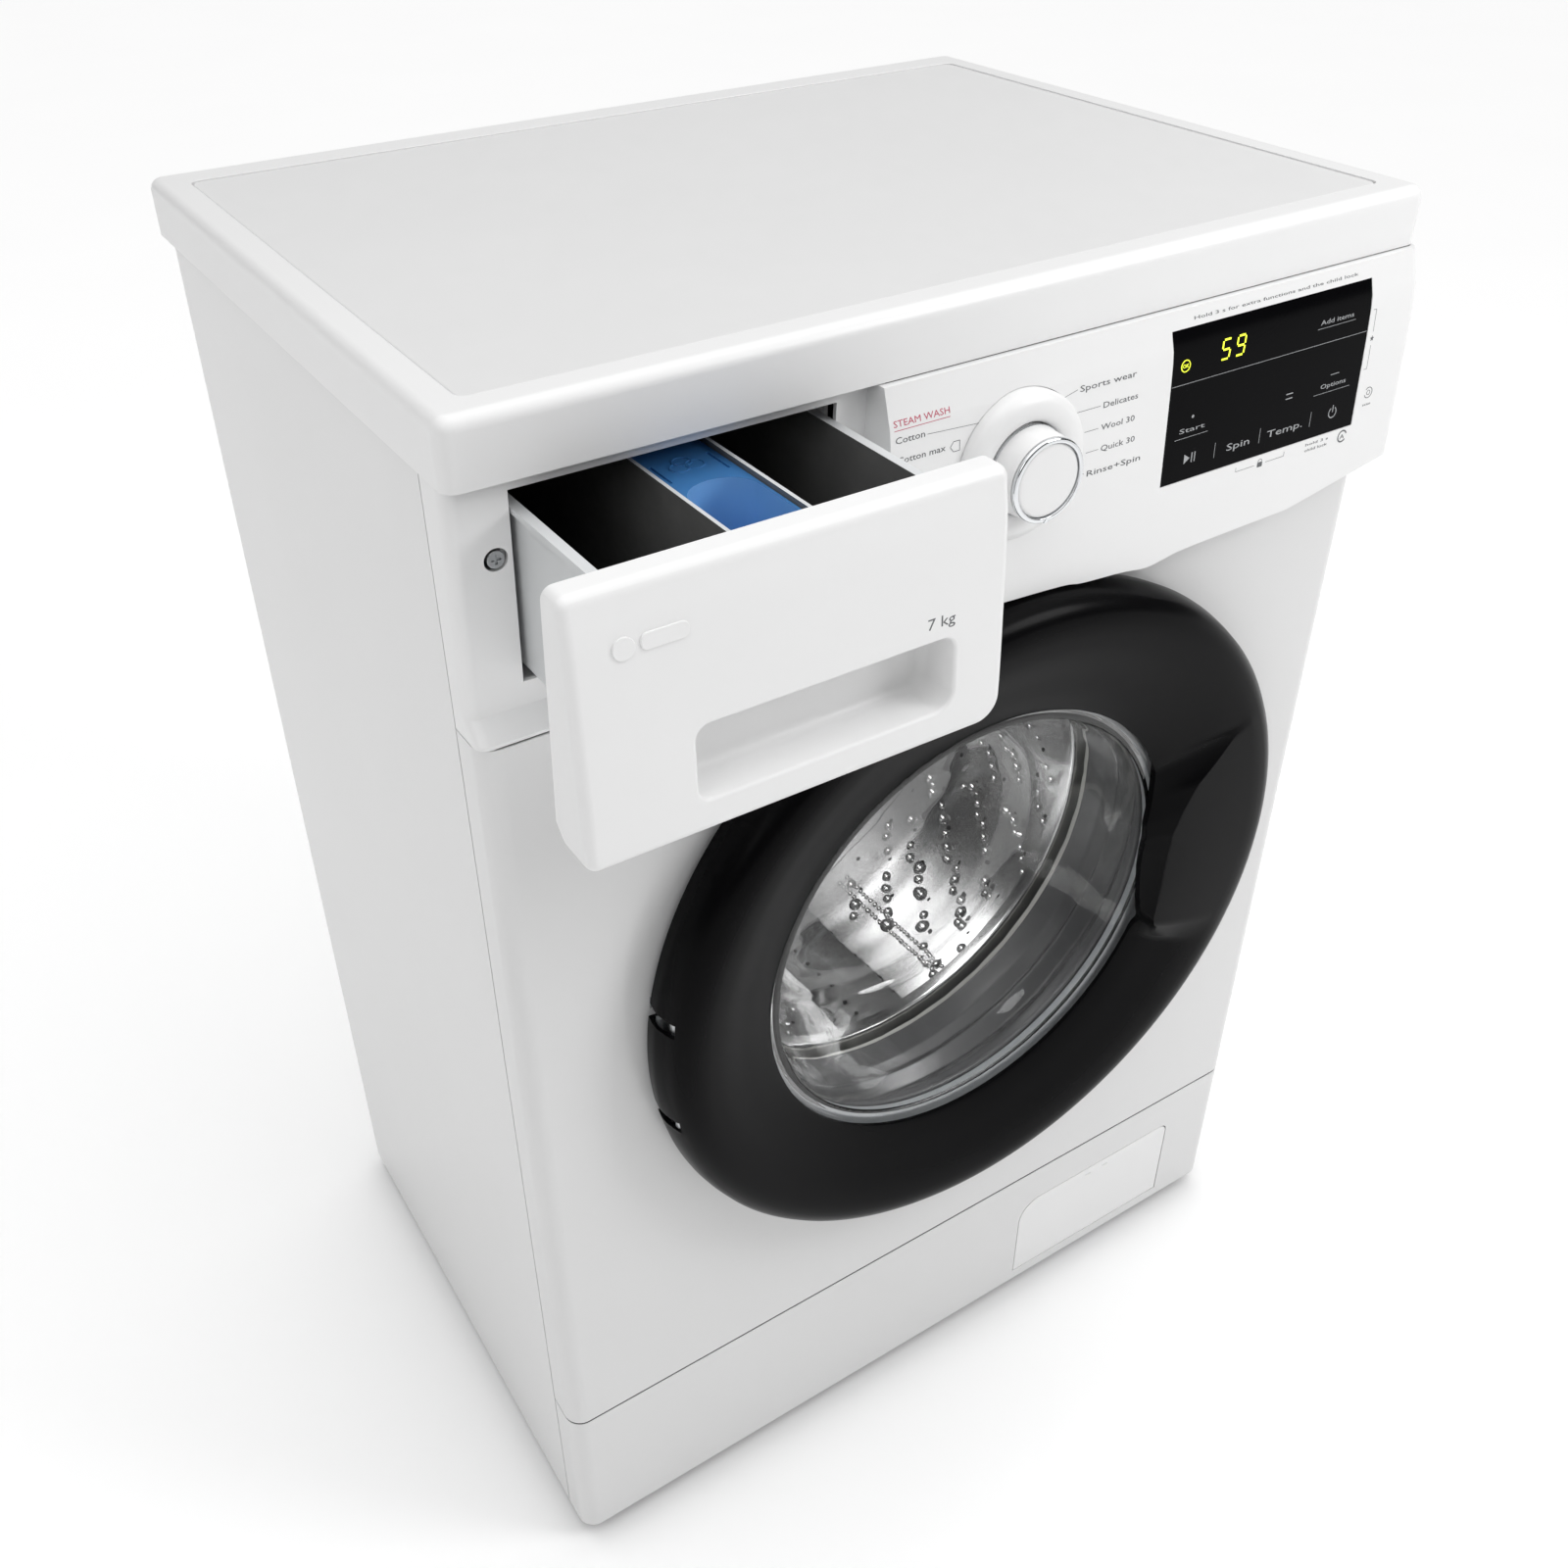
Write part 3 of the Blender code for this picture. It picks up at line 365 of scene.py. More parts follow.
def raised(tree, shader, height, strength, distance=0.0001):
    bump = addNode(tree, "ShaderNodeBump", {"Height": height, "Strength": strength, "Distance": distance})
    tree.links.new(bump.outputs["Normal"], shader.inputs["Normal"])


def glossed(tree, shader, value, gloss):    # gloss is the smoothest and the roughest
    change = addNode(tree, "ShaderNodeMapRange", {"Value": value, "To Min": gloss[0], "To Max": gloss[1]})
    tree.links.new(change.outputs["Result"], shader.inputs["Roughness"])


def moulded(name, tones, gloss, sizes, strength, **sockets):
    # plastic or paint: tones drift, gloss is patchy, the skin is fine; sizes are theirs in mm
    material, tree, shader, place = startMaterial(name, **sockets)
    driftMm, patchMm, skinMm = sizes
    toned(tree, noise(tree, place, driftMm, 3.0), tones, shader.inputs["Base Color"])
    glossed(tree, shader, noise(tree, place, patchMm, 4.0), gloss)
    raised(tree, shader, noise(tree, place, skinMm, 2.0), strength)
    return material


def brushed(name, tones, gloss, lineMm, strength, stretch=(1.0, 1.0, 1.0)):
    # metal with fine lines along one direction
    material, tree, shader, place = startMaterial(name, Metallic=1.0)
    drawn = addNode(tree, "ShaderNodeMapping", {"Vector": place, "Scale": stretch}).outputs["Vector"]
    lines = noise(tree, drawn, lineMm, 5.0, Roughness=0.6)
    toned(tree, lines, tones, shader.inputs["Base Color"])
    glossed(tree, shader, lines, gloss)
    raised(tree, shader, lines, strength)
    return material


def enamelledSteel():                  # white enamel baked on pressed sheet, with a faint orange peel
    return moulded("enamelled steel", ("#DADADA", "#DEDEDE"), (0.27, 0.31), (160, 35, 3.0), 0.02,
                   Coat_Weight=0.25, Coat_Roughness=0.12)


def whiteAbs():                        # injection moulded, satin, with a very fine spark-eroded skin
    return moulded("white ABS", ("#E9E9E9", "#ECECEC"), (0.34, 0.38), (120, 20, 0.7), 0.03)


def greyLaminate():                    # melamine-faced board: flat light grey with a dry fine grain
    return moulded("melamine laminate", ("#D9D9D9", "#DCDCDC"), (0.42, 0.56), (90, 12, 0.5), 0.12)


def greyPolypropylene():               # plain moulding for pieces that sit behind others
    return moulded("grey polypropylene", ("#8F9294", "#989B9D"), (0.40, 0.55), (70, 10, 0.6), 0.12)


def glossBlackAbs():                   # polished in the mould, then handled: deep black, soft broad shine
    return moulded("gloss black ABS", ("#070708", "#0C0C0D"), (0.20, 0.30), (90, 28, 1.2), 0.03,
                   Specular_IOR_Level=0.05)


def smokedAcrylic():                   # the display window: black behind a clear hard face
    return moulded("smoked acrylic", ("#060607", "#0A0A0C"), (0.10, 0.16), (60, 25, 2.0), 0.02,
                   Specular_IOR_Level=0.04)


def bluePolypropylene():               # softener cup: sky blue, waxy
    return moulded("blue polypropylene", ("#376FA8", "#427CB6"), (0.28, 0.42), (40, 9, 0.8), 0.08,
                   Subsurface_Weight=0.08, Subsurface_Scale=0.004)


def litWellPolypropylene():           # the cup's well: painted light, the cup's blue made lighter for the light that comes through its wall
    return moulded("blue polypropylene, painted light", ("#6FA6DC", "#80B4E6"), (0.28, 0.42), (40, 9, 0.8), 0.08,
                   Subsurface_Weight=0.08, Subsurface_Scale=0.004)


def trayPolypropylene():               # the drawer tray's light outside and rims
    return moulded("light grey polypropylene", ("#C9CBCC", "#D2D4D5"), (0.34, 0.48), (50, 9, 0.7), 0.10)


def shadedWellPolypropylene():            # inside the wells: painted shade, the tray's plastic made darker where the deep wells lie in shade, its tone drifting
    return moulded("light grey polypropylene, painted shade", ("#5C5C5C", "#747473"), (0.30, 0.55), (26, 5, 0.8), 0.15)


def epdmRubber():                      # the door gasket: grey, soft sheen, faint bloom
    return moulded("EPDM rubber", ("#505051", "#5C5C5D"), (0.18, 0.30), (30, 8, 0.9), 0.10)


def blackRubber():                     # feet, hoses, and the strips of painted shade in the seams: dry
    return moulded("black rubber", ("#1B1B1C", "#262627"), (0.55, 0.75), (20, 6, 0.6), 0.25)


def tubPolypropylene():                # grey-white, dull, with flow marks
    return moulded("glass-filled polypropylene", ("#B9B9B4", "#A9A9A4"), (0.50, 0.65), (45, 7, 0.6), 0.25)


def castIron():                        # counterweights: painted dark, sandy from the mould
    return moulded("cast iron", ("#2B2B2C", "#3A3836"), (0.65, 0.85), (15, 4, 1.2), 0.9)


def circuitBoard():                    # green solder resist over glass cloth
    return moulded("solder resist", ("#0E4A2A", "#1A5E38"), (0.30, 0.50), (6, 3, 0.5), 0.20)


def printInk():                        # dark grey pad-printed marks on the panel
    return moulded("grey printing ink", ("#56585A", "#606264"), (0.45, 0.60), (5, 3, 0.3), 0.1)


def redInk():
    return moulded("red printing ink", ("#B5445C", "#BE5268"), (0.45, 0.60), (5, 3, 0.3), 0.1)


def paleInk():                         # marks on the black window
    return moulded("pale printing ink", ("#9C9EA0", "#A6A8AA"), (0.40, 0.55), (5, 3, 0.3), 0.1)


def holeShadePaint():                   # holes through the drum sheet: painted shade, a dark colour for the dark of the tub behind them
    return moulded("painted hole shade", ("#121213", "#1A1A1B"), (0.60, 0.80), (5, 3, 0.4), 0.1)


def litGlow():                         # yellow-green LED segments
    material, tree, shader, place = startMaterial("lit segment", Roughness=0.4, Emission_Strength=1.6)
    toned(tree, noise(tree, place, 2, 1.0), ("#C6D420", "#D9E640"), shader.inputs["Base Color"],
          shader.inputs["Emission Color"])
    return material


def stainlessSteel():                  # drum sheet: rolled, bright, faint lines round the drum
    return brushed("stainless steel", ("#C8C8C8", "#D8D8D8"), (0.15, 0.24), 3.0, 0.10, (0.25, 3.0, 0.25))


def zincPlated():                      # screws, hinge, springs: a dull grey bloom
    return brushed("zinc-plated steel", ("#A9ABAD", "#BFC1C2"), (0.28, 0.45), 4.0, 0.10)


def chromedAbs():                      # the knob's ring: mirror plating
    return brushed("chromed ABS", ("#D8DADC", "#E2E4E6"), (0.06, 0.11), 6.0, 0.02)


def castAluminium():                   # spider: blasted casting
    return brushed("cast aluminium", ("#A4A6A8", "#B4B6B8"), (0.45, 0.65), 1.5, 0.6)


def copperWire():                      # windings: enamelled wire seen end on
    return brushed("enamelled copper", ("#9A5A34", "#B87345"), (0.30, 0.45), 1.0, 0.5, (1.0, 6.0, 1.0))


def toughenedGlass():                  # clear, slightly wavy from the mould; it lets the lamps' light through
    material, tree, shader, place = startMaterial("toughened glass", Roughness=0.0, IOR=1.5, Transmission_Weight=1.0)
    wave = noise(tree, place, 38, 1.0)
    raised(tree, shader, wave, 0.25, 0.002)
    toned(tree, wave, ("#F3F4F4", "#FAFAFA"), shader.inputs["Base Color"])
    lamps = addNode(tree, "ShaderNodeLightPath").outputs["Is Shadow Ray"]
    clear = addNode(tree, "ShaderNodeBsdfTransparent", {"Color": linear("#F0F0F0")})
    mix = addNode(tree, "ShaderNodeMixShader", {0: lamps, 1: shader.outputs["BSDF"], 2: clear.outputs["BSDF"]})
    tree.links.new(mix.outputs["Shader"], tree.nodes["Material Output"].inputs["Surface"])
    return material


finish = {"enamel": enamelledSteel(), "white_plastic": whiteAbs(), "laminate": greyLaminate(),
          "grey_plastic": greyPolypropylene(), "black_plastic": glossBlackAbs(), "display_black": smokedAcrylic(),
          "clear_glass": toughenedGlass(), "blue_plastic": bluePolypropylene(), "tray_plastic": trayPolypropylene(),
          "rubber": epdmRubber(), "stainless": stainlessSteel(), "steel": zincPlated(), "chrome": chromedAbs(),
          "aluminium": castAluminium(), "cast_iron": castIron(), "winding": copperWire(),
          "tub_plastic": tubPolypropylene(), "circuit_board": circuitBoard()}
extra = {"paintedShadeWell": shadedWellPolypropylene(), "paintedLightWell": litWellPolypropylene(), "blackRubber": blackRubber(),
         "print": printInk(), "red": redInk(), "pale": paleInk(), "lit": litGlow(), "holes": holeShadePaint()}
print("materials ready:", len(finish) + len(extra))


def dress(piece, body, slot, nodes=(), material=None, angle=35, weighted=True):
    # smooth shading, finish, and the body that it moves with
    activate(piece)
    bpy.ops.object.shade_smooth_by_angle(angle=radians(angle))
    if weighted:
        applied(piece, "WEIGHTED_NORMAL", keep_sharp=True, weight=60)
    if not piece.data.materials:
        piece.data.materials.append(material or finish[slot])
    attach(piece, body)
    if nodes:
        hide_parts(*nodes)
    return piece


# lid
lidLook = {"corner": 0.0085, "softEdge": 0.0068, "seatCorner": 0.006, "seatGap": 0.0005, "boardEdge": 0.0012,
           "rim": 0.0055, "rimTop": 0.8355, "inset": (0.038, 0.040, 0.046), "shelf": 0.845}


def makeLid():
    low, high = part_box("top_frame")
    boardLow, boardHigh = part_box("top_board")
    lid = addBlock("lidFrame", low, high)
    bevelWhere(lid, upright, lidLook["corner"], 8)
    bevelWhere(lid, above(high.z - 0.0005), lidLook["softEdge"], 7)
    gap = Vector((lidLook["seatGap"], lidLook["seatGap"], 0.0003))
    seat = addBlock("seat", boardLow - gap, boardHigh + gap + Vector((0, 0, 0.02)))
    bevelWhere(seat, upright, lidLook["seatCorner"], 6)
    edge, (side, front, back) = lidLook["rim"], lidLook["inset"]
    rim = addBlock("underside", low + Vector((edge, edge, -0.01)),
                   Vector((high.x - edge, high.y - edge, lidLook["rimTop"])))
    middle = addBlock("middle", low + Vector((side, front, 0)),
                      Vector((high.x - side, high.y - back, lidLook["shelf"])))
    cutAway(lid, seat, rim, middle)
    softEdges(lid, 0.0006, 2)
    dress(lid, "cabinet", "white_plastic", ["top_frame"])
    board = addBlock("topBoard", boardLow, boardHigh)
    bevelWhere(board, upright, lidLook["seatCorner"], 6)
    bevelWhere(board, above(boardHigh.z - 0.0003), lidLook["boardEdge"], 3)
    dress(board, "cabinet", "laminate", ["top_board"])


makeLid()
print("lid ready")


# cabinet sheets
sheetLook = {"half": 0.2985, "front": 0.0054, "back": 0.418, "seam": 0.0325, "sheet": 0.0012,
             "frontCorner": 0.012, "backCorner": 0.010, "seamGap": 0.0010, "port": 0.163}
panelEdge = [(-0.31, 0.685), (-0.08, 0.685), (0.026, 0.681), (0.052, 0.6775), (0.080, 0.6753), (0.100, 0.6727),
             (0.114, 0.6743), (0.135, 0.6764), (0.224, 0.6786), (0.31, 0.681)]


def cornerArc(middle, radius, startDegrees, turnDegrees, steps=10):
    return [(middle[0] + radius * cos(radians(startDegrees + turnDegrees * i / steps)),
             middle[1] + radius * sin(radians(startDegrees + turnDegrees * i / steps))) for i in range(steps + 1)]


def frontPlan(inset=0.0, thick=sheetLook["sheet"]):
    half, corner = sheetLook["half"], sheetLook["frontCorner"]
    depth = sheetLook["front"] + corner
    outer = (cornerArc((corner - half, depth), corner - inset, 180, 90)
             + cornerArc((half - corner, depth), corner - inset, 270, 90))
    inner = (cornerArc((corner - half, depth), corner - inset - thick, 180, 90)
             + cornerArc((half - corner, depth), corner - inset - thick, 270, 90))
    seam, edge = sheetLook["seam"], half - inset
    return ([(-edge, seam)] + outer + [(edge, seam), (edge - thick, seam)] + inner[::-1] + [(thick - edge, seam)])


def standing(plan, z):                 # (x, y) pairs laid out at one height
    return [at(x, y, z) for x, y in plan]


def makeWrap():
    half, back, corner = sheetLook["half"], sheetLook["back"], sheetLook["backCorner"]
    thick, flange = sheetLook["sheet"], 0.012
    front = sheetLook["seam"] + sheetLook["seamGap"]
    outer = (cornerArc((corner - half, back - corner), corner, 180, -90)
             + cornerArc((half - corner, back - corner), corner, 90, -90))
    inner = (cornerArc((half - corner, back - corner), corner - thick, 0, 90)
             + cornerArc((corner - half, back - corner), corner - thick, 90, 90))
    plan = ([(flange - half, front), (-half, front)] + outer + [(half, front), (half - flange, front),
            (half - flange, front + thick), (half - thick, front + thick)] + inner
            + [(thick - half, front + thick), (flange - half, front + thick)])
    low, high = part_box("cabinet_wrap")
    wrap = pushOut("cabinetWrap", standing(plan, low.z), (0, 0, high.z - low.z))
    window = pushOut("window", onFront(roundedOutline(-0.165, 0.165, 0.235, 0.655, (0.04,) * 4), 0.40), (0, 0.04, 0))
    cutters = [window]
    for x, z, radius in ((0.200, 0.775, 0.0117), (-0.200, 0.745, 0.0125), (0.235, 0.700, 0.0098)):
        cutters.append(turned("hole", [(0, 0.40), (radius, 0.40), (radius, 0.44), (0, 0.44)], at(x, 0, z), 32))
    for z in (0.765, 0.772, 0.779, 0.786):         # air slots near the top
        cutters.append(pushOut("slot", onFront(roundedOutline(-0.130, -0.050, z - 0.0016, z + 0.0016, (0.0015,) * 4, 3),
                                               0.40), (0, 0.04, 0)))
    cutAway(wrap, *cutters)
    dress(wrap, "cabinet", "enamel", ["cabinet_wrap"])


def makeSwages():                      # stiffening beads pressed outwards in the back sheet
    beads = []
    for z in (0.120, 0.160, 0.700):
        outline = roundedOutline(-0.150, 0.150, z - 0.009, z + 0.009, (0.0085,) * 4)
        bead = pushOut("bead", onFront(outline, sheetLook["back"] + 0.0003), (0, 0.0018, 0))
        bevelWhere(bead, behind(sheetLook["back"] + 0.0018), 0.0014, 4)
        beads.append(bead)
    dress(gather("backBeads", beads), "cabinet", "enamel")


def makeFrontSheet():
    low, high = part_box("front_panel")
    foot = low.z + sheetLook["seamGap"]
    sheet = pushOut("frontSheet", standing(frontPlan(), foot), (0, 0, 0.690 - foot))
    curve = [(x, z - sheetLook["seamGap"]) for x, z in flowing(panelEdge, 5)]
    above = pushOut("above", onFront(curve + [(0.31, 0.75), (-0.31, 0.75)], -0.02), (0, 0.08, 0))
    port = turned("port", [(0, -0.02), (sheetLook["port"], -0.02), (sheetLook["port"], 0.02), (0, 0.02)],
                  axisPoint(), 128)
    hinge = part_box("hinge_bracket")
    slots = []
    for side in (-1, 1):
        z = doorMiddle.z + side * hingeArm
        slots.append(addBlock("slot", at(hinge[0].x + 0.003, -0.01, z - 0.0045),
                              at(hinge[0].x + 0.011, 0.02, z + 0.0045)))
    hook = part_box("door_hook")
    slots.append(addBlock("slot", at(hook[0].x - 0.0065, -0.01, doorMiddle.z - 0.022),
                          at(hook[1].x + 0.0065, 0.02, doorMiddle.z + 0.022)))
    cutAway(sheet, above, port, *slots)
    dress(sheet, "cabinet", "enamel", ["front_panel"])


flapLook = {"x": (0.088, 0.2425), "z": (0.0262, 0.105), "topCorners": (0.008, 0.020), "gap": 0.0008, "thick": 0.0020}


def flapOutline(grow):
    (x0, x1), (z0, z1) = flapLook["x"], flapLook["z"]
    right, left = flapLook["topCorners"]
    return roundedOutline(x0 - grow, x1 + grow, z0 - grow, z1 + grow, (0.0006, 0.0006, right, left), 8)


def makeKickAndFlap():
    low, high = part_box("kick_plate")
    kick = pushOut("kickPlate", standing(frontPlan(), low.z), (0, 0, high.z - low.z))
    opening = pushOut("opening", onFront(flapOutline(flapLook["gap"]), -0.01), (0, 0.03, 0))
    cutAway(kick, opening)
    dress(kick, "cabinet", "enamel", ["kick_plate"])
    front = sheetLook["front"]
    flap = pushOut("serviceFlap", onFront(flapOutline(0), front), (0, flapLook["thick"], 0))
    for x in (0.158, 0.1755):           # two small pick slots under the top edge
        cutAway(flap, addBlock("pick", at(x - 0.0028, front - 0.001, 0.0975), at(x + 0.0028, front + 0.0011, 0.0985)))
    bevelWhere(flap, lambda ends: ahead(front + 0.0001)(ends) and min(e.z for e in ends) < 0.095, 0.0005, 2)
    dress(flap, "flap", "white_plastic", ["service_flap"])


def makeSeamShade():                       # dark strips set behind the seams between the sheets: painted shade, so the seams read dark
    half, seam, gap = sheetLook["half"], sheetLook["seam"], sheetLook["seamGap"]
    inset, slack = 0.0004, 0.00005
    kickLow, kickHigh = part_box("kick_plate")
    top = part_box("front_panel")[0].z + gap
    foot = kickHigh.z + slack
    strips = [pushOut("strip", standing(frontPlan(inset, 0.009), foot), (0, 0, top - foot - slack))]
    for side in (-1, 1):
        near, far = sorted((side * (half - inset), side * (half - 0.009)))
        strips.append(addBlock("strip", at(near, seam + slack, kickLow.z), at(far, seam + gap - slack, 0.672)))
    # the black rubber on these strips stands for the seams' shade: painted shade
    dress(gather("seamShadeStrips", strips), "cabinet", "rubber", material=extra["blackRubber"])


makeWrap()
makeSwages()
makeFrontSheet()
makeKickAndFlap()
makeSeamShade()
print("sheets ready")


# control panel
panelLook = {"top": 0.8165, "endRound": 0.007, "endSteps": 6, "recessX": -0.081, "socket": 0.0403, "knobZ": 0.760,
             "knobSteps": 96, "screw": (-0.2765, 0.777),
             "display": ((0.103, 0.257), (0.721, 0.8065))}
panelFace = [(-0.0036, 0.8165), (-0.0075, 0.8030), (-0.0103, 0.790), (-0.0127, 0.744), (-0.0142, 0.704),
             (-0.0146, 0.666)]
recessFace = [(0.0094, 0.8145), (0.0168, 0.7020), (0.0163, 0.6965), (0.0060, 0.6868)]


def depthAt(face, z):                  # depth of a leaning face at a height
    for (y0, z0), (y1, z1) in zip(face, face[1:]):
        if z1 <= z <= z0:
            return y0 + (y1 - y0) * (z0 - z) / (z0 - z1)
    return face[0][0] if z > face[0][1] else face[-1][0]


panelCurve = flowing(panelFace, 3)


def panelDepth(z):
    return depthAt(panelCurve, z)


def leaning(name, plan, low, high, face, moved):
    # an upright prism whose front, the points less deep than moved, follows a leaning face
    piece = pushOut(name, standing(plan, low), (0, 0, high - low))
    sliceAt(piece, [z for y, z in face if low < z < high])
    for vertex in piece.data.vertices:
        if moved(vertex.co.y - frontY):
            vertex.co.y += depthAt(face, vertex.co.z)
    return piece


def sideways(section, x):              # (y, z) pairs stood up at one x
    return [at(x, y, z) for y, z in section]


def makeLowerWedge():                  # the bevel under the panel that grows towards the right
    wedge = addBlock("wedge", at(0.112, -0.030, 0.640), at(0.320, 0.0054, 0.6735))
    moves = {(0.112, -0.030): 0.6735, (0.320, -0.030): 0.7120, (0.112, 0.0054): 0.6725, (0.320, 0.0054): 0.6805}
    for vertex in wedge.data.vertices:
        if vertex.co.z > 0.66:
            key = (round(vertex.co.x, 4), round(vertex.co.y - frontY, 4))
            vertex.co.z = moves[key]
    return wedge


def makeFascia():
    half, back, wall, far = sheetLook["half"], sheetLook["seam"], 0.0025, 0.05
    bend, steps, recessX = panelLook["endRound"], panelLook["endSteps"], panelLook["recessX"]
    plan = (cornerArc((bend - half, bend), bend, 180, 90, steps)
            + cornerArc((half - bend, bend), bend, 270, 90, steps) + [(half, back), (-half, back)])
    panel = leaning("controlPanel", plan, 0.666, panelLook["top"], panelCurve, lambda y: y < bend + 0.0001)
    right = [(0.0010, 0.84), (0.0008, 0.8140), (-0.0078, 0.790), (-0.0102, 0.744), (-0.0117, 0.708), (0.005, 0.6875),
             (far, 0.6875), (far, 0.84)]
    left = [(0.0119, 0.84), (0.0119, 0.8145), (0.0195, 0.700), (0.0195, 0.689), (far, 0.689), (far, 0.84)]
    inFront = ([(-0.31, -far), (recessX, -far), (recessX, 0)]
               + cornerArc((bend - half, bend), bend, 270, -90, steps) + [(-0.31, bend)])
    recess = leaning("recess", inFront, 0.650, 0.840, recessFace, lambda y: y > -0.001)
    edge = flowing(panelEdge, 5) + [(0.31, 0.60), (-0.31, 0.60)]
    cutAway(panel, recess, pushOut("hollow", sideways(right, recessX + 0.004), (half - wall - recessX - 0.004, 0, 0)),
            pushOut("hollow", sideways(left, wall - half), (half - wall + recessX - 0.0035, 0, 0)),
            pushOut("edge", onFront(edge, -0.06), (0, 0.12, 0)), makeLowerWedge())
    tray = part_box("drawer_tray")
    opening = addBlock("opening", Vector((tray[0].x - 0.0035, frontY - 0.01, tray[0].z - 0.003)),
                       Vector((tray[1].x + 0.0015, frontY + far, 0.8090)))
    (x0, x1), (z0, z1) = panelLook["display"]
    pocket = [(-0.03, z0 - 0.0003), (-0.03, z1 + 0.0003), (panelDepth(z1) + 0.0023, z1 + 0.0003),
              (panelDepth(0.790) + 0.0023, 0.790), (panelDepth(0.744) + 0.0023, 0.744),
              (panelDepth(z0) + 0.0023, z0 - 0.0003)]
    socket, (screwX, screwZ) = panelLook["socket"], panelLook["screw"]
    screwHole = turned("screwHole", [(0, -0.01), (0.0058, -0.01), (0.0058, 0.0165), (0, 0.0165)],
                       at(screwX, 0, screwZ), 32)
    cutAway(panel, opening, pushOut("pocket", sideways(pocket, x0 - 0.0003), (x1 - x0 + 0.0006, 0, 0)),
            turned("socket", [(0, -0.03), (socket, -0.03), (socket, 0.0), (0, 0.0)], at(0, 0, panelLook["knobZ"]), 64),
            screwHole)
    bevelWhere(panel, lambda ends: upright(ends) and all(abs(e.x - recessX) < 0.0002 and e.y < 0 for e in ends),
               0.0015, 3)
    dress(panel, "cabinet", "white_plastic", ["control_panel"])
    head = turned("recessScrew", softened([(0, 0.0118), (0.0042, 0.0118), (0.0042, 0.0142), (0.0016, 0.0142),
                                           (0.0016, 0.0160), (0, 0.0160)], 0.0004, 3), at(screwX, 0, screwZ), 24)
    crossCut(head, screwX, screwZ, 0.0024, 0.0006, 0.011, 0.0128)
    dress(head, "cabinet", "steel")


def makeDisplay():
    (x0, x1), (z0, z1) = panelLook["display"]
    heights = [z0 + (z1 - z0) * i / 10 for i in range(11)]
    section = ([(panelDepth(z) + 0.0002, z) for z in heights]
               + [(panelDepth(z) + 0.0020, z) for z in reversed(heights)])
    window = pushOut("displayWindow", sideways(section, x0), (x1 - x0, 0, 0))
    dress(window, "cabinet", "display_black", ["display_window"])


def makeKnob():
    middle = at(0, 0, panelLook["knobZ"])
    steps = panelLook["knobSteps"]
    bezel = [(0.0045, -0.0095), (0.0240, -0.0095), (0.0240, -0.0142)]
    bezel += flowing([(0.0244, -0.0158), (0.0262, -0.0184), (0.0300, -0.0195), (0.0345, -0.0190), (0.0378, -0.0172),
                      (0.0396, -0.0148), (0.0400, -0.0125)], 3)
    ring = turned("knobBezel", bezel + [(0.0400, -0.0075), (0.0045, -0.0075)], middle, steps)
    notch = addBlock("notch", middle + Vector((-0.045, -0.025, -0.0012)), middle + Vector((-0.0335, -0.0155, 0.0012)))
    cutAway(ring, notch)
    dress(ring, "cabinet", "white_plastic", ["knob_bezel"])
    body = [(0, -0.0343), (0.0150, -0.0345)]
    body += flowing([(0.0178, -0.0344), (0.0192, -0.0340), (0.0196, -0.0333)], 2)
    body += [(0.0196, -0.0320), (0.0224, -0.0320), (0.0228, -0.0270), (0.0233, -0.0200), (0.0235, -0.0130),
             (0.0035, -0.0130), (0.0035, 0.0125), (0, 0.0125)]
    knob = turned("programKnob", body, middle, steps)
    dress(knob, "knob", "white_plastic", ["program_knob"])
    trim = softened([(0.0199, -0.0352), (0.0219, -0.0352), (0.0227, -0.0343), (0.0227, -0.0326), (0.0199, -0.0326)],
                    0.0007, 3)
    ring = turned("knobTrim", trim, middle, steps)
    corners = ((-0.0012, -0.0226), (0.0012, -0.0226), (0, -0.0196))
    pointer = pushOut("pointer", [middle + Vector((x, -0.0354, z)) for x, z in corners], (0, 0.0015, 0))
    dress(gather("knobTrim", [ring, pointer]), "knob", "chrome", ["knob_trim"])
    band = turned("knobBand", softened([(0.0231, -0.0182), (0.0238, -0.0182), (0.0239, -0.0166), (0.0232, -0.0166)],
                                       0.0003, 2), middle, steps)
    dress(band, "knob", "chrome")


makeFascia()
makeDisplay()
makeKnob()
print("control panel ready")


# drawer
drawerLook = {"x": (-0.2983, -0.0825), "z": (0.688, 0.8143), "corners": (0.0060, 0.0135, 0.0055, 0.0055),
              "rim": 0.0050, "wall": 0.0026, "pocket": (-0.245, -0.112, 0.705, 0.742), "pocketBack": -0.0810,
              "pocketCorners": (0.0070, 0.0100, 0.0065, 0.0070), "pocketFloor": 0.0055, "lip": 0.0018}
drawerFace = [(-0.0978, 0.8143), (-0.0990, 0.8050), (-0.1013, 0.7900), (-0.1037, 0.7440), (-0.1050, 0.7100),
              (-0.1050, 0.6880)]
drawerSeat = [(-0.0838, 0.8143), (-0.0838, 0.8120), (-0.0762, 0.6995), (-0.0875, 0.6880)]


def shrunk(radii, amount):
    return [max(r - amount, 0.0012) for r in radii]


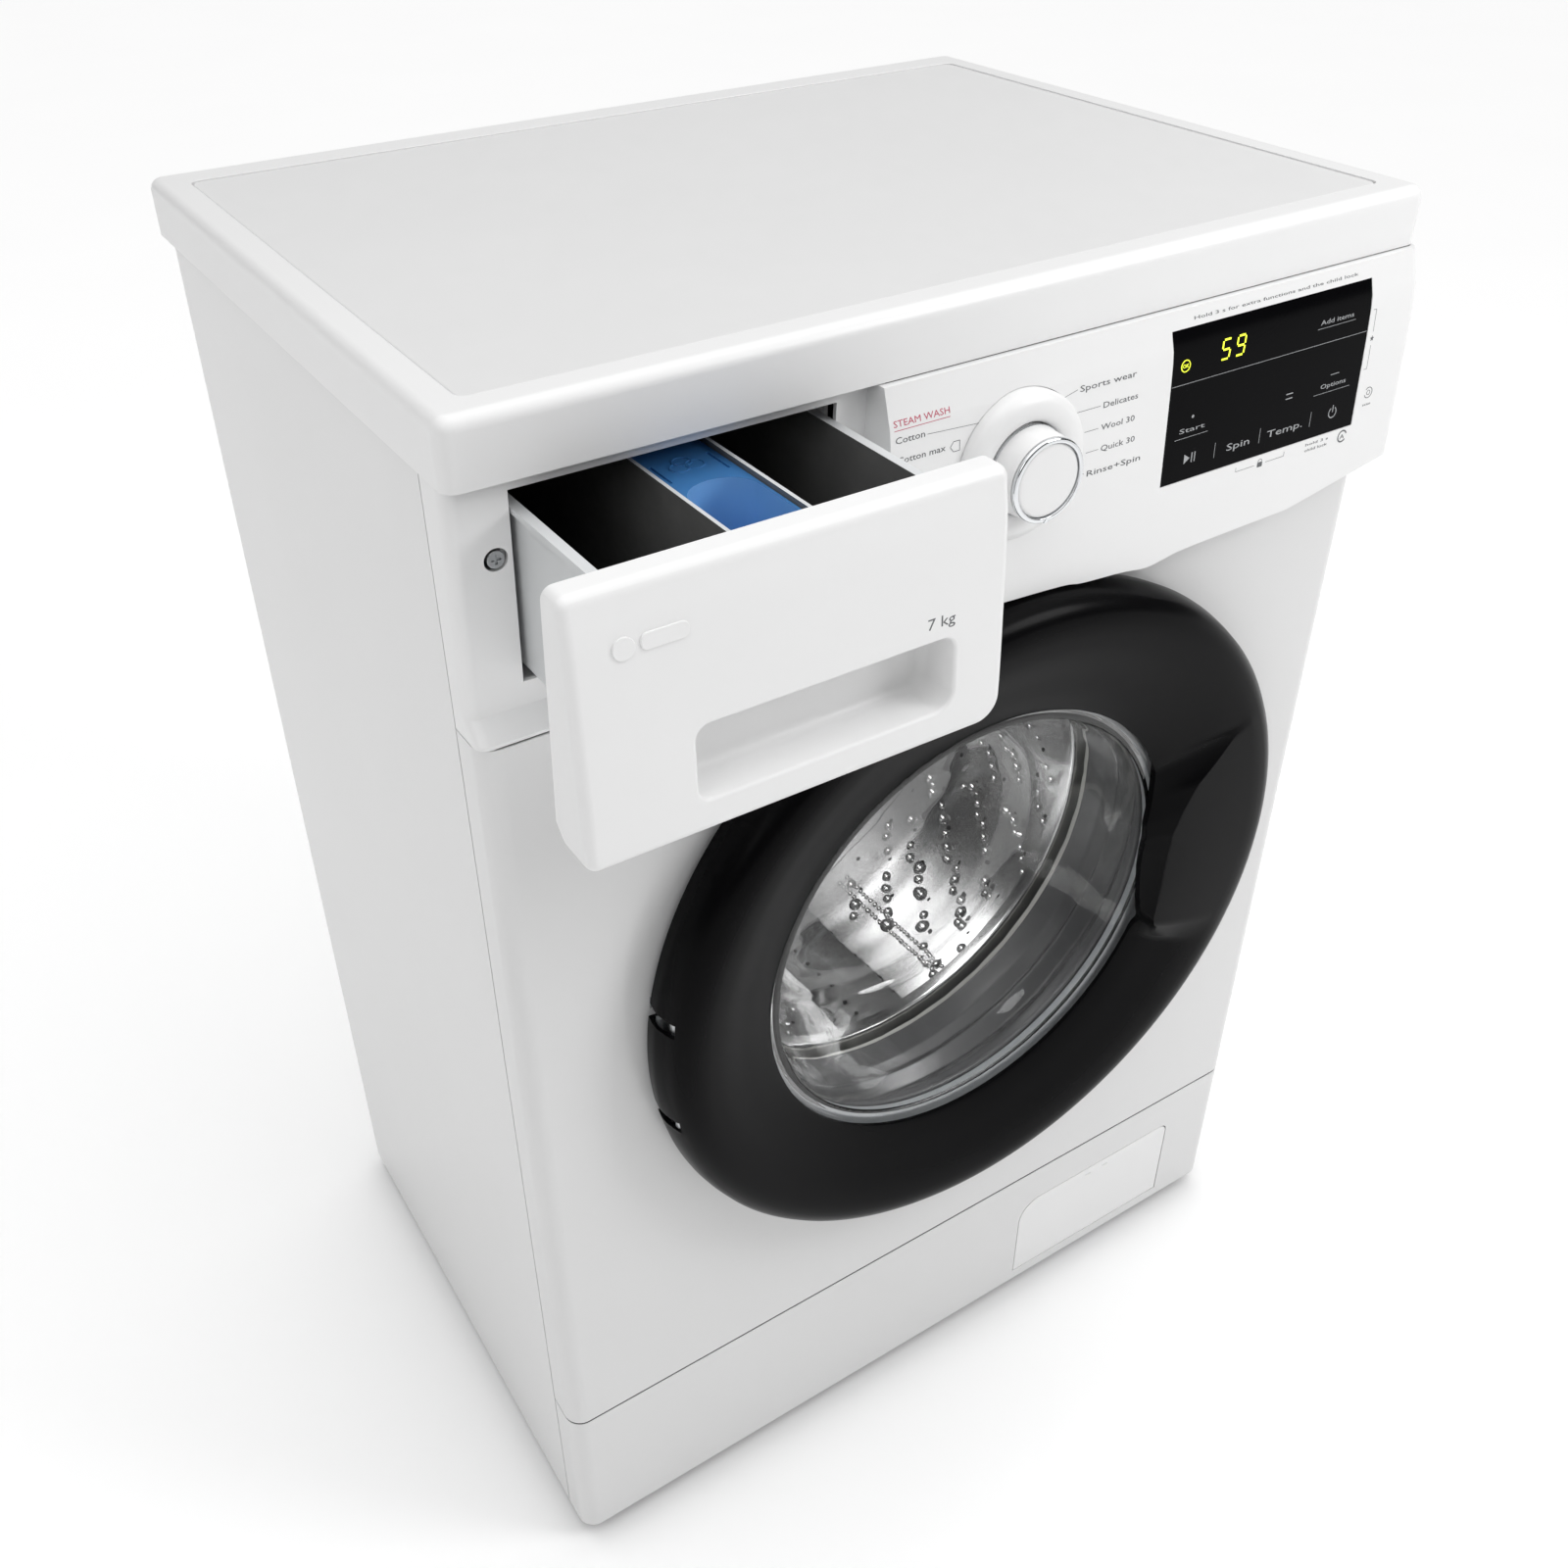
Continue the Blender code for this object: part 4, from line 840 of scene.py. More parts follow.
def makeDrawerFront():
    (x0, x1), (z0, z1), wall = drawerLook["x"], drawerLook["z"], drawerLook["wall"]
    face = flowing(drawerFace, 3)
    front = pushOut("drawerFront", onFront(roundedOutline(x0, x1, z0, z1, drawerLook["corners"], 8), 0),
                    (0, 0.02, 0))
    bevelWhere(front, ahead(0.0001), drawerLook["rim"], 6)
    outline = roundedOutline(x0 + wall, x1 - wall, z0 + wall, z1 - wall, shrunk(drawerLook["corners"], wall), 6)
    hollow = pushOut("hollow", onFront(outline, wall), (0, 0.06, 0))
    for piece in (front, hollow):
        sliceAt(piece, [0.6995] + [z for y, z in face[1:-1]])
        for vertex in piece.data.vertices:
            depth = vertex.co.y - frontY
            if depth < 0.019:
                vertex.co.y += depthAt(face, vertex.co.z)
            elif piece is front:
                vertex.co.y = frontY + depthAt(drawerSeat, vertex.co.z)
    cutAway(front, hollow)
    px0, px1, pz0, pz1 = drawerLook["pocket"]
    box = addBlock("pocketBox", at(px0 - 0.0025, -0.1032, pz0 - 0.0025), at(px1 + 0.0025, -0.0785, pz1 + 0.0025))
    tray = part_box("drawer_tray")
    neck = [(-0.0875, 0.8100), (-0.0664, 0.8020), (-0.0664, 0.7985), (-0.0875, 0.8060)]
    joinOn(front, box, pushOut("neck", sideways(neck, tray[0].x + 0.0005), (tray[1].x - tray[0].x - 0.001, 0, 0)))
    depth = drawerLook["pocketBack"] + 0.12
    pocket = pushOut("pocket", onFront(roundedOutline(px0, px1, pz0, pz1, drawerLook["pocketCorners"], 8), -0.12),
                     (0, depth, 0))
    bevelWhere(pocket, behind(drawerLook["pocketBack"] - 0.0001), drawerLook["pocketFloor"], 6)
    cutAway(front, pocket)

    def onLip(ends):
        return all(e.y < -0.1025 and min(abs(e.x - px0), abs(e.x - px1), abs(e.z - pz0), abs(e.z - pz1)) < 0.0101
                   and px0 - 0.0001 < e.x < px1 + 0.0001 and pz0 - 0.0001 < e.z < pz1 + 0.0001
                   for e in ends) and abs(ends[0].y - ends[1].y) < 0.002
    bevelWhere(front, onLip, drawerLook["lip"], 4)
    dress(front, "drawer", "white_plastic", ["drawer_front"], angle=30)


def onDrawer(piece):                   # lays flat marks on the drawer's leaning face
    for vertex in piece.data.vertices:
        vertex.co.y += depthAt(drawerFace, vertex.co.z)
    return piece


def makeBadge():                       # a blank medallion and a blank plate beside it, both moulded on
    disc = pushOut("badge", onFront(roundedOutline(-0.2790, -0.2690, 0.7835, 0.7935, (0.00499,) * 4, 10), -0.0010),
                   (0, 0.0015, 0))
    plate = pushOut("plate", onFront(roundedOutline(-0.2665, -0.2450, 0.7850, 0.7925, (0.0030,) * 4, 6), -0.0010),
                    (0, 0.0015, 0))
    for piece in (disc, plate):
        bevelWhere(piece, ahead(-0.0009), 0.0004, 3)
    dress(onDrawer(gather("blankBadge", [disc, plate])), "drawer", "white_plastic")


trayLook = {"near": -0.0660, "length": 0.260, "wall": 0.0020, "walls": (-0.201, -0.160), "rim": 0.0030,
            "sideRim": 0.0048, "corner": 0.0050, "floor": 0.0045}


def makeTray():
    low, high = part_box("drawer_tray")
    near, wall = trayLook["near"], trayLook["wall"]
    far = near + trayLook["length"]
    tray = addBlock("drawerTray", low, high)
    bevelWhere(tray, lambda ends: upright(ends) or all(e.z < low.z + 0.0001 for e in ends), 0.0040, 4)
    rim = addBlock("rim", Vector((low.x - 0.0025, low.y, high.z - trayLook["rim"])),
                   Vector((high.x + 0.0009, high.y - 0.034, high.z)))
    bevelWhere(rim, upright, 0.0030, 4)
    joinOn(tray, rim)
    side = trayLook["sideRim"]
    first, second = trayLook["walls"]
    edges = [(low.x + side - wall, first - 0.001), (first + 0.001, second - 0.001),
             (second + 0.001, high.x - side + 0.0008)]
    for x0, x1 in edges:
        well = addBlock("well", at(x0, near + wall, low.z + wall), at(x1, far - wall, high.z + 0.02))
        bevelWhere(well, upright, trayLook["corner"], 5)
        bevelWhere(well, below(low.z + wall + 0.0001), trayLook["floor"], 4)
        cutAway(tray, well)
    cutAway(tray, addBlock("dip", at(low.x - 0.01, near + 0.225, low.z + 0.040),
                           at(high.x + 0.01, near + 0.30, high.z + 0.02)))
    softEdges(tray, 0.0004, 2, 50)
    dress(tray, "drawer", "tray_plastic", ["drawer_tray"])
    # the faces inside the wells take the darker copy of the tray plastic: painted shade
    tray.data.materials.append(extra["paintedShadeWell"])
    inside = [(x0 - 0.0002, x1 + 0.0002) for x0, x1 in edges]
    for face in tray.data.polygons:
        centre = face.center
        inWell = any(x0 <= centre.x <= x1 for x0, x1 in inside) and near + wall - 0.0002 < centre.y - frontY < far
        if inWell and low.z + 0.0005 < centre.z < high.z - 0.0012:
            face.material_index = 1


cupLook = {"wellRear": -0.008, "floor": 0.7240, "rear": 0.015}


def makeCup():
    low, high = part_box("softener_cup")
    cup = addBlock("softenerCup", low, high)
    bevelWhere(cup, upright, 0.0030, 4)
    x0, x1 = low.x + 0.0016, high.x - 0.0016
    y0, y1 = low.y - frontY + 0.0022, cupLook["wellRear"]
    rear = cupLook["rear"]
    plan = [(x1, y0 + 0.002), (x1, y1 - rear)]
    half, middle = (x1 - x0) / 2, (x0 + x1) / 2
    plan += [(middle + half * cos(radians(a)), y1 - rear + rear * sin(radians(a))) for a in range(15, 180, 15)]
    plan += [(x0, y1 - rear), (x0, y0 + 0.002), (x0 + 0.002, y0), (x1 - 0.002, y0)]
    well = pushOut("well", standing(plan, cupLook["floor"]), (0, 0, 0.09))
    bevelWhere(well, below(cupLook["floor"] + 0.0001), 0.0040, 4)
    cutters = [well]
    for x in (-0.1955, -0.1655):        # two grooves in the cover plate
        cutters.append(addBlock("groove", at(x - 0.0007, -0.002, high.z - 0.0010),
                                at(x + 0.0007, 0.018, high.z + 0.01)))
    cutAway(cup, *cutters)
    softEdges(cup, 0.0005, 2, 40)
    ring = softened([(0.0042, high.z - 0.0004), (0.0050, high.z - 0.0004), (0.0050, high.z + 0.0004),
                     (0.0042, high.z + 0.0004)], 0.0002, 2)
    loops = [turned("petal", ring, at(-0.1805 + dx, 0.010 + dy, 0), 20, upwards=True)
             for dx, dy in ((-0.0040, 0), (0.0040, 0), (0, 0.0052))]
    cup = dress(gather("softenerCup", [cup] + loops), "drawer", "blue_plastic", ["softener_cup"])
    # the well's faces take the lighter copy of the blue: painted light
    cup.data.materials.append(extra["paintedLightWell"])
    for face in cup.data.polygons:
        centre = face.center
        inWell = x0 - 0.0001 < centre.x < x1 + 0.0001 and y0 - 0.0001 < centre.y - frontY < y1
        if inWell and centre.z < high.z - 0.0010:
            face.material_index = 1


makeDrawerFront()
makeBadge()
makeTray()
makeCup()
print("drawer ready")


# printed marks and lit segments: plain words, numbers and signs
markLook = {"thick": 0.00006, "lift": 0.00003, "windowLift": 0.00012, "line": 0.00022}


def plate(outline):
    return pushOut("mark", onFront(outline, -markLook["thick"]), (0, 2 * markLook["thick"], 0))


def stroke(start, end, width=None):
    width = width or markLook["line"]
    a, b = Vector(start), Vector(end)
    side = Vector((a.y - b.y, b.x - a.x)).normalized() * width / 2
    return plate([tuple(a + side), tuple(b + side), tuple(b - side), tuple(a - side)])


def chain(points, width=None):
    return [stroke(a, b, width) for a, b in zip(points, points[1:])]


def loop(x, z, radius, width=None, startDegrees=0, turnDegrees=360):
    width = width or markLook["line"]
    outer = cornerArc((x, z), radius, startDegrees, turnDegrees, 24)
    inner = cornerArc((x, z), radius - width, startDegrees, turnDegrees, 24)
    if turnDegrees < 360:
        return plate(outer + inner[::-1])
    ring = [(radius - width, -markLook["thick"]), (radius, -markLook["thick"]), (radius, markLook["thick"]),
            (radius - width, markLook["thick"])]
    return turned("mark", ring, at(x, 0, z), 24)


def words(text, x0, x1, z, size):      # letters of the built-in typeface, fitted between two places
    deselectAll()
    bpy.ops.object.text_add(location=(0, 0, 0), rotation=(pi / 2, 0, 0))
    item = bpy.context.object
    item.data.body = text
    item.data.size = size
    item.data.extrude = markLook["thick"]
    item.data.resolution_u = 2
    bpy.ops.object.convert(target="MESH")
    bpy.ops.object.transform_apply(location=True, rotation=True, scale=True)
    item = bpy.context.object
    lowX, highX = min(v.co.x for v in item.data.vertices), max(v.co.x for v in item.data.vertices)
    for vertex in item.data.vertices:
        vertex.co.x = x0 + (vertex.co.x - lowX) * (x1 - x0) / (highX - lowX)
        vertex.co.y += frontY
        vertex.co.z += z - size * 0.35
    editAll(item, bpy.ops.mesh.remove_doubles, "VERT", threshold=0.000002)
    return item


def printOn(name, marks, look, depth, lift, body="cabinet", slot="white_plastic"):
    piece = gather(name, marks)
    for vertex in piece.data.vertices:
        vertex.co.y += depth(vertex.co.z) - lift
    dress(piece, body, slot, material=look, weighted=False)


def mm(*values):
    return [v / 1000 for v in values]


def panelPrint():
    grey, red = [], []
    leaders = [((26.5, 789.0), (36.4, 791.4)), ((36.5, 779.2), (53.0, 779.2)), ((43.0, 767.2), (52.5, 767.2)),
               ((45.0, 755.4), (53.6, 755.4)), ((42.4, 745.5), (45.0, 743.6))]
    labels = [("Sports wear", 38.2, 77, 791.4), ("Delicates", 55, 79, 779.2), ("Wool 30", 54.5, 78, 767.2),
              ("Quick 30", 55.5, 79.5, 755.4), ("Rinse+Spin", 47, 85, 743.4)]
    for (x0, z0), (x1, z1) in leaders:
        grey.append(stroke(mm(x0, z0), mm(x1, z1)))
    for text, x0, x1, z in labels:
        grey.append(words(text, *mm(x0, x1, z), 0.0046))
    red.append(words("STEAM WASH", *mm(-78.5, -45, 799.4), 0.0044))
    red.append(stroke(mm(-78.5, 796.2), mm(-45, 796.2), 0.0003))
    grey += [words("Cotton", *mm(-78, -60.5, 791.4), 0.0046), stroke(mm(-59, 790.6), mm(-27, 788.8)),
             words("Cotton max", *mm(-77, -48, 781.2), 0.0046)]
    arrow = (-39.2, 783), (-43, 783), (-45, 780.4), (-43, 777.8), (-39.2, 777.8), (-39.2, 783)
    grey += chain([mm(*p) for p in arrow], 0.0003)
    grey += [words("Hold 3 s for extra functions and the child lock", *mm(119, 246, 810.8), 0.0024),
             words("hold 3 s", *mm(219, 238, 717.4), 0.0024), words("child lock", *mm(219, 238, 713.8), 0.0024)]
    brackets = [((162, 717.8), (162, 715.2), (177, 715.2)), ((186, 715.2), (201, 715.2), (201, 717.8)),
                ((259.6, 789), (262, 789), (262, 776)), ((262, 768), (262, 754), (259.6, 754))]
    for bracket in brackets:
        grey += chain([mm(*p) for p in bracket])
    lock = plate(roundedOutline(*mm(179.5, 183.5, 713.4, 716.4), (0.0004,) * 4, 2))
    grey += [loop(*mm(181.5, 716.6, 1.7), 0.0003, 0, 180), lock]
    star = [(262 + r * sin(radians(a)), 772 + r * cos(radians(a))) for a, r in
            [(36 * i, 1.8 if i % 2 == 0 else 0.75) for i in range(10)]]
    grey.append(plate([tuple(mm(*p)) for p in star]))
    grey += [loop(*mm(250.5, 715.4, 3.9), 0.0009, 20, 300), words("A", *mm(248.6, 252.4, 715.2), 0.0040),
             loop(*mm(267.5, 738.5, 3.4), 0.0004, 200, 300), loop(*mm(267.5, 738.5, 1.5), 0.0003),
             words("scan", *mm(264.2, 271, 731.4), 0.0022)]
    printOn("panelPrint", grey, extra["print"], panelDepth, markLook["lift"])
    printOn("panelRedPrint", red, extra["red"], panelDepth, markLook["lift"])
    drawerMark = words("7 kg", *mm(-127.5, -112.5, 752), 0.0078)
    printOn("capacityPrint", [drawerMark], extra["print"], lambda z: depthAt(drawerFace, z), markLook["lift"], "drawer")


def segmentDigit(x, z, lit):           # a slanted seven-segment digit, lower left corner at x, z
    wide, tall, thick = 0.0058, 0.0105, 0.00105
    half = tall / 2
    ends = {"a": ((0, tall), (wide, tall)), "b": ((wide, half), (wide, tall)), "c": ((wide, 0), (wide, half)),
            "d": ((0, 0), (wide, 0)), "e": ((0, 0), (0, half)), "f": ((0, half), (0, tall)),
            "g": ((0, half), (wide, half))}
    segments = []
    for key in lit:
        (x0, z0), (x1, z1) = ends[key]
        gapX, gapZ = (0.0006, 0) if z0 == z1 else (0, 0.0006)
        start = (x + x0 + gapX + (z0 + gapZ) * 0.14, z + z0 + gapZ)
        end = (x + x1 - gapX + (z1 - gapZ) * 0.14, z + z1 - gapZ)
        segments.append(stroke(start, end, thick))
    return segments


def displayPrint():
    lit = segmentDigit(0.1385, 0.7852, "afgcd") + segmentDigit(0.1495, 0.7852, "abcdfg")
    lit += [loop(*mm(112.5, 787.5, 3.4), 0.0005), words("OK", *mm(110.4, 114.6, 787.5), 0.0030)]
    pale = [stroke(mm(103.6, 777.4), mm(256.4, 777.4), 0.00025),
            words("Add items", *mm(216, 243, 789.8), 0.0038), stroke(mm(214, 786.4), mm(245, 786.4)),
            words("Options", *mm(224, 245, 751.2), 0.0038), stroke(mm(219, 747), mm(249, 747)),
            stroke(mm(231, 757), mm(238, 757), 0.0004), words("Start", *mm(113, 132, 750.6), 0.0038),
            stroke(mm(110, 746.2), mm(135, 746.2)), words("Spin", *mm(152, 170, 732.2), 0.0058),
            words("Temp.", *mm(184, 213, 732.2), 0.0058), loop(*mm(122, 757.6, 0.9), 0.0009)]
    for x in (142.5, 178.0, 219.5):
        pale.append(stroke(mm(x, 728.6), mm(x, 737.4), 0.0003))
    pale += [plate([tuple(mm(*p)) for p in ((119.0, 730.6), (123.2, 733.4), (119.0, 736.2))]),
             stroke(mm(124.8, 730.6), mm(124.8, 736.2), 0.0007), stroke(mm(127.0, 730.6), mm(127.0, 736.2), 0.0007),
             loop(*mm(238, 733, 3.4), 0.0006, 120, 300), stroke(mm(238, 733.2), mm(238, 737.4), 0.0006),
             stroke(mm(195.4, 750.4), mm(200.8, 750.4), 0.0006), stroke(mm(195.4, 753.2), mm(200.8, 753.2), 0.0006)]
    printOn("displayPrint", pale, extra["pale"], panelDepth, markLook["windowLift"] - 0.0002, slot="display_black")
    printOn("litSegments", lit, extra["lit"], panelDepth, markLook["windowLift"] - 0.0002, slot="display_black")


panelPrint()
displayPrint()
print("marks ready")


# door
doorLook = {"steps": 360, "wall": 0.0021, "radius": 0.228, "shift": 0.0075, "wider": 0.0070}
ringFace = [(0.1530, -0.0105), (0.1530, -0.0126), (0.1536, -0.0132), (0.1570, -0.0146), (0.1610, -0.0161),
            (0.1650, -0.0176), (0.1690, -0.0190), (0.1730, -0.0203), (0.1770, -0.0216), (0.1810, -0.0229),
            (0.1850, -0.0243), (0.1890, -0.0256), (0.1935, -0.0270), (0.1980, -0.0281), (0.2040, -0.0292),
            (0.2090, -0.0297), (0.2140, -0.0292), (0.2180, -0.0278), (0.2220, -0.0250), (0.2250, -0.0210),
            (0.2268, -0.0150), (0.2278, -0.0100), (0.2280, -0.0060), (0.2268, 0.0015)]
# the grip, by angle from the right, up positive: where its lip ends, and where its ridge runs
gripLip = [(-27, 0.1530), (-22, 0.1530), (-19, 0.1460), (-14, 0.1395), (-8, 0.1345), (-3, 0.1318), (3, 0.1312),
           (12, 0.1352), (19.5, 0.1450), (25, 0.1525), (28, 0.1530)]
gripRidge = [(-27, 0.1560), (-22, 0.1560), (-19, 0.1510), (-12, 0.1475), (-4, 0.1458), (2, 0.1465), (8, 0.1490),
             (13.5, 0.1570), (19, 0.1700), (25.2, 0.1990), (28, 0.2000)]
gripDepth = [(-27, -0.0130), (-20, -0.0190), (8, -0.0195), (25, -0.0130), (28, -0.0130)]
gripWeight = [(-27, 0), (-21, 1), (25.4, 1), (27.6, 0)]


def along(table, angle):               # reads a table of (angle, value), smoothly
    for (a0, v0), (a1, v1) in zip(table, table[1:]):
        if a0 <= angle <= a1:
            t = (angle - a0) / (a1 - a0)
            return v0 + (v1 - v0) * t
    return table[0][1] if angle < table[0][0] else table[-1][1]


def gripSpot(index, angle):            # where one point of the ring's face goes on the grip
    normal = ringFace[index]
    weight = along(gripWeight, angle)
    if weight <= 0 or index > 15:
        return normal
    lip, ridge, depth = along(gripLip, angle), along(gripRidge, angle), along(gripDepth, angle)

    def plateau(r):
        return -0.0298 + 0.0026 * ((0.209 - r) / 0.064) ** 2
    crest = plateau(ridge)
    slope = (crest - depth) / max(ridge - lip, 0.001)
    if index == 0:
        spot = (lip, depth + 0.0045)
    elif index == 1:
        spot = (lip, depth)
    elif index <= 6:                    # the facet, from the lip's edge up to just before the ridge
        r = lip + (ridge - 0.0006 - lip) * (0.06, 0.28, 0.52, 0.78, 1.0)[index - 2]
        spot = (r, depth + slope * (r - lip))
    else:                               # the raised face, from the ridge out to the crown
        t = (0, 0.03, 0.14, 0.3, 0.48, 0.66, 0.82, 0.93, 1.0)[index - 7]
        r = ridge + (0.209 - ridge) * t
        spot = (r, plateau(r))
    return tuple(n + (s - n) * weight for n, s in zip(normal, spot))


def shapeGrip(ring):
    for vertex in ring.data.vertices:
        flat = vertex.co - axisPoint()
        r, angle = hypot(flat.x, flat.z), atan2(flat.z, flat.x)
        index = min(range(len(ringFace)), key=lambda i: abs(ringFace[i][0] - r) + abs(ringFace[i][1] - flat.y))
        newR, depth = gripSpot(index, degrees(angle))
        vertex.co = axisPoint() + Vector((newR * cos(angle), depth, newR * sin(angle)))


def widen(piece):                      # the crown sits a little further out on the handle side
    for vertex in piece.data.vertices:
        flat = vertex.co - axisPoint()
        share = min(max((hypot(flat.x, flat.z) - 0.165) / 0.050, 0), 1)
        vertex.co.x += share * (doorLook["shift"] + doorLook["wider"] * flat.x / doorLook["radius"])
        vertex.co.z += share * (0.001 + 0.0025 * flat.z / doorLook["radius"])


def hingeNotch(side):                  # room for a fixed hinge arm as the door turns
    x, y = -0.2165, -0.0165
    outline = [(x + 0.004, y), (x + 0.004, y + 0.024), (x - 0.024, y + 0.024), (x - 0.024, y - 0.0085),
               (x - 0.0060, y - 0.0060), (x, y - 0.0046), (x + 0.004, y - 0.0030)]
    z = doorMiddle.z + side * hingeArm
    return pushOut("notch", standing(outline, z - 0.0045), (0, 0, 0.009))


def makeRing():
    ring = turned("doorRing", ringFace, axisPoint(), doorLook["steps"])
    shapeGrip(ring)
    editAll(ring, bpy.ops.mesh.normals_make_consistent, inside=False)
    if ring.data.polygons[0].normal.y > 0:
        editAll(ring, bpy.ops.mesh.flip_normals)
    widen(ring)
    applied(ring, "SOLIDIFY", thickness=doorLook["wall"], offset=-1, use_even_offset=True)
    cutAway(ring, hingeNotch(-1), hingeNotch(1))
    dress(ring, "door", "black_plastic", ["door_ring"], angle=40)


def makeGlass():
    outer = [(0.1478, -0.0052), (0.1440, 0.0120), (0.1400, 0.0300), (0.1310, 0.0560), (0.1240, 0.0740),
             (0.1190, 0.0815), (0.1080, 0.0880), (0.0900, 0.0915), (0.0700, 0.0930), (0.0350, 0.0943)]
    inner = [(0.1450, -0.0090), (0.1405, 0.0110), (0.1361, 0.0290), (0.1272, 0.0545), (0.1210, 0.0705),
             (0.1165, 0.0775), (0.1065, 0.0842), (0.0890, 0.0878), (0.0700, 0.0890), (0.0350, 0.0903)]
    rim = [(0.1600, -0.0052), (0.1600, -0.0078), (0.1588, -0.0090), (0.1530, -0.0090), (0.1518, -0.0086),
           (0.1500, -0.0086), (0.1488, -0.0092), (0.1472, -0.0092)]
    profile = [(0, 0.0945)] + flowing(outer, 2)[::-1] + rim + flowing(inner, 2) + [(0, 0.0905)]
    glass = turned("doorGlass", profile, axisPoint(), 144)
    dress(glass, "door", "clear_glass", ["door_glass"], angle=50)


def makeInnerRing():
    profile = softened([(0.150, -0.0045), (0.2238, -0.0045), (0.2238, 0.0010), (0.150, 0.0010)], 0.0010, 3)
    ring = turned("doorInnerRing", profile, axisPoint(), 120)
    widen(ring)
    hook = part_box("door_hook")
    window = addBlock("window", Vector((hook[0].x - 0.0015, frontY - 0.01, doorMiddle.z - 0.0075)),
                      Vector((hook[1].x + 0.0015, frontY + 0.01, doorMiddle.z + 0.0075)))
    cutAway(ring, hingeNotch(-1), hingeNotch(1), window)
    dress(ring, "door", "grey_plastic", ["door_inner_ring"])
    screws = []
    for turn in range(0, 360, 45):
        spot = axisPoint() + Vector((0.2150 * cos(radians(turn + 22)), 0.0012, 0.2150 * sin(radians(turn + 22))))
        head = turned("head", softened([(0, -0.0007), (0.0032, -0.0007), (0.0032, 0.0009), (0.0012, 0.0009),
                                        (0.0012, 0.0001), (0, 0.0001)], 0.0003, 2), spot, 16)
        screws.append(head)
    dress(gather("doorScrews", screws), "door", "steel")


def makeGasket():
    profile = [(0.1490, 0.0020), (0.1624, 0.0020), (0.1624, 0.0140), (0.1750, 0.0210), (0.1750, 0.0290),
               (0.1660, 0.0380), (0.1785, 0.0460), (0.1718, 0.0580), (0.1718, 0.0740), (0.1688, 0.0740),
               (0.1688, 0.0560), (0.1745, 0.0475), (0.1622, 0.0385), (0.1715, 0.0285), (0.1590, 0.0165),
               (0.1590, 0.0065), (0.1490, 0.0060)]
    gasket = turned("gasket", softened(profile, 0.0022, 5), axisPoint(), 160)
    activate(gasket)
    bpy.ops.object.shade_smooth_by_angle(angle=radians(50))
    gasket.data.materials.append(finish["rubber"])
    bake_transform(gasket)
    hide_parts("gasket")
    wire = [(0.1645 + 0.0011 * cos(t), 0.0090 + 0.0011 * sin(t)) for t in [2 * pi * i / 12 for i in range(12)]]
    dress(turned("gasketClamp", wire, axisPoint(), 160), "cabinet", "steel", ["gasket_clamp"])


makeRing()
makeGlass()
makeInnerRing()
makeGasket()
print("door ready")


# drum
drumLook = {"wall": 0.2365, "front": 0.104, "back": 0.286, "steps": 160, "seed": 7,
            "lifters": (-80, 40, 160), "lifterHalf": 9.5}


def copies(template, places):          # one shape set down many times, each copy with its own mesh
    made = []
    for place in places:
        copy = template.copy()
        copy.data = template.data.copy()
        bpy.context.collection.objects.link(copy)
        copy.data.transform(place)
        made.append(copy)
    bpy.data.objects.remove(template)
    return made


def onWall(angle, y, radius):
    # a spot on the drum's wall, its Z axis pointing at the drum's axis
    a = radians(angle)
    inward = Vector((-cos(a), 0, -sin(a)))
    axle = Vector((0, 1, 0))
    turning = Matrix((axle.cross(inward), axle, inward)).transposed().to_4x4()
    spot = axisPoint() - inward * radius + Vector((0, y, 0))
    return Matrix.Translation(spot) @ turning


def dome(radius, height, steps=12):
    shares = ((0, 1), (0.48, 0.94), (0.76, 0.66), (0.88, 0.20), (1.05, 0))
    profile = [(radius * r, height * z) for r, z in shares] + [(radius * 1.05, -0.0004), (0, -0.0004)]
    return turned("dome", profile, Vector((0, 0, 0)), steps, upwards=True)


# a thin dark disc laid on the drum sheet in place of a hole: its dark is painted shade
def dot(radius, depth=0.00012, steps=8):
    profile = [(0, depth), (radius, depth), (radius, -0.0003), (0, -0.0003)]
    return turned("dot", profile, Vector((0, 0, 0)), steps, upwards=True)


def clearOfLifters(angle, margin):
    return all(abs((angle - middle + 180) % 360 - 180) > drumLook["lifterHalf"] + margin
               for middle in drumLook["lifters"])


def makeDrumShell():
    shell = [(0.1650, 0.0940), (0.1650, 0.0870)]
    shell += flowing([(0.1656, 0.0850), (0.1670, 0.0840), (0.1690, 0.0838)], 3)
    shell += [(0.2300, 0.0838), (0.2350, 0.0865), (0.2385, 0.0925), (0.2385, 0.2975), (0.2365, 0.2975),
              (0.2365, 0.0935), (0.2337, 0.0882), (0.2290, 0.0858), (0.1690, 0.0858), (0.1674, 0.0864),
              (0.1668, 0.0880), (0.1668, 0.0940), (0.1659, 0.0946)]
    drum = turned("drumShell", shell, axisPoint(), drumLook["steps"])
    dress(drum, "drum", "stainless", ["drum_shell"], angle=40)
    back = flowing([(0.0640, 0.2900), (0.0720, 0.2906), (0.0790, 0.2945), (0.0860, 0.2980)], 3)
    rings = []
    for r in (0.112, 0.150, 0.188):     # pressed rings
        rings += [(r - 0.006, 0.2980), (r - 0.003, 0.2966), (r + 0.003, 0.2966), (r + 0.006, 0.2980)]
    profile = [(0, 0.2900)] + back + rings + [(0.2385, 0.2980), (0.2385, 0.2998), (0.0850, 0.2998), (0.0690, 0.2918),
                                              (0, 0.2918)]
    dish = turned("drumBack", profile, axisPoint(), drumLook["steps"])
    dress(dish, "drum", "stainless", ["drum_back"], angle=30)


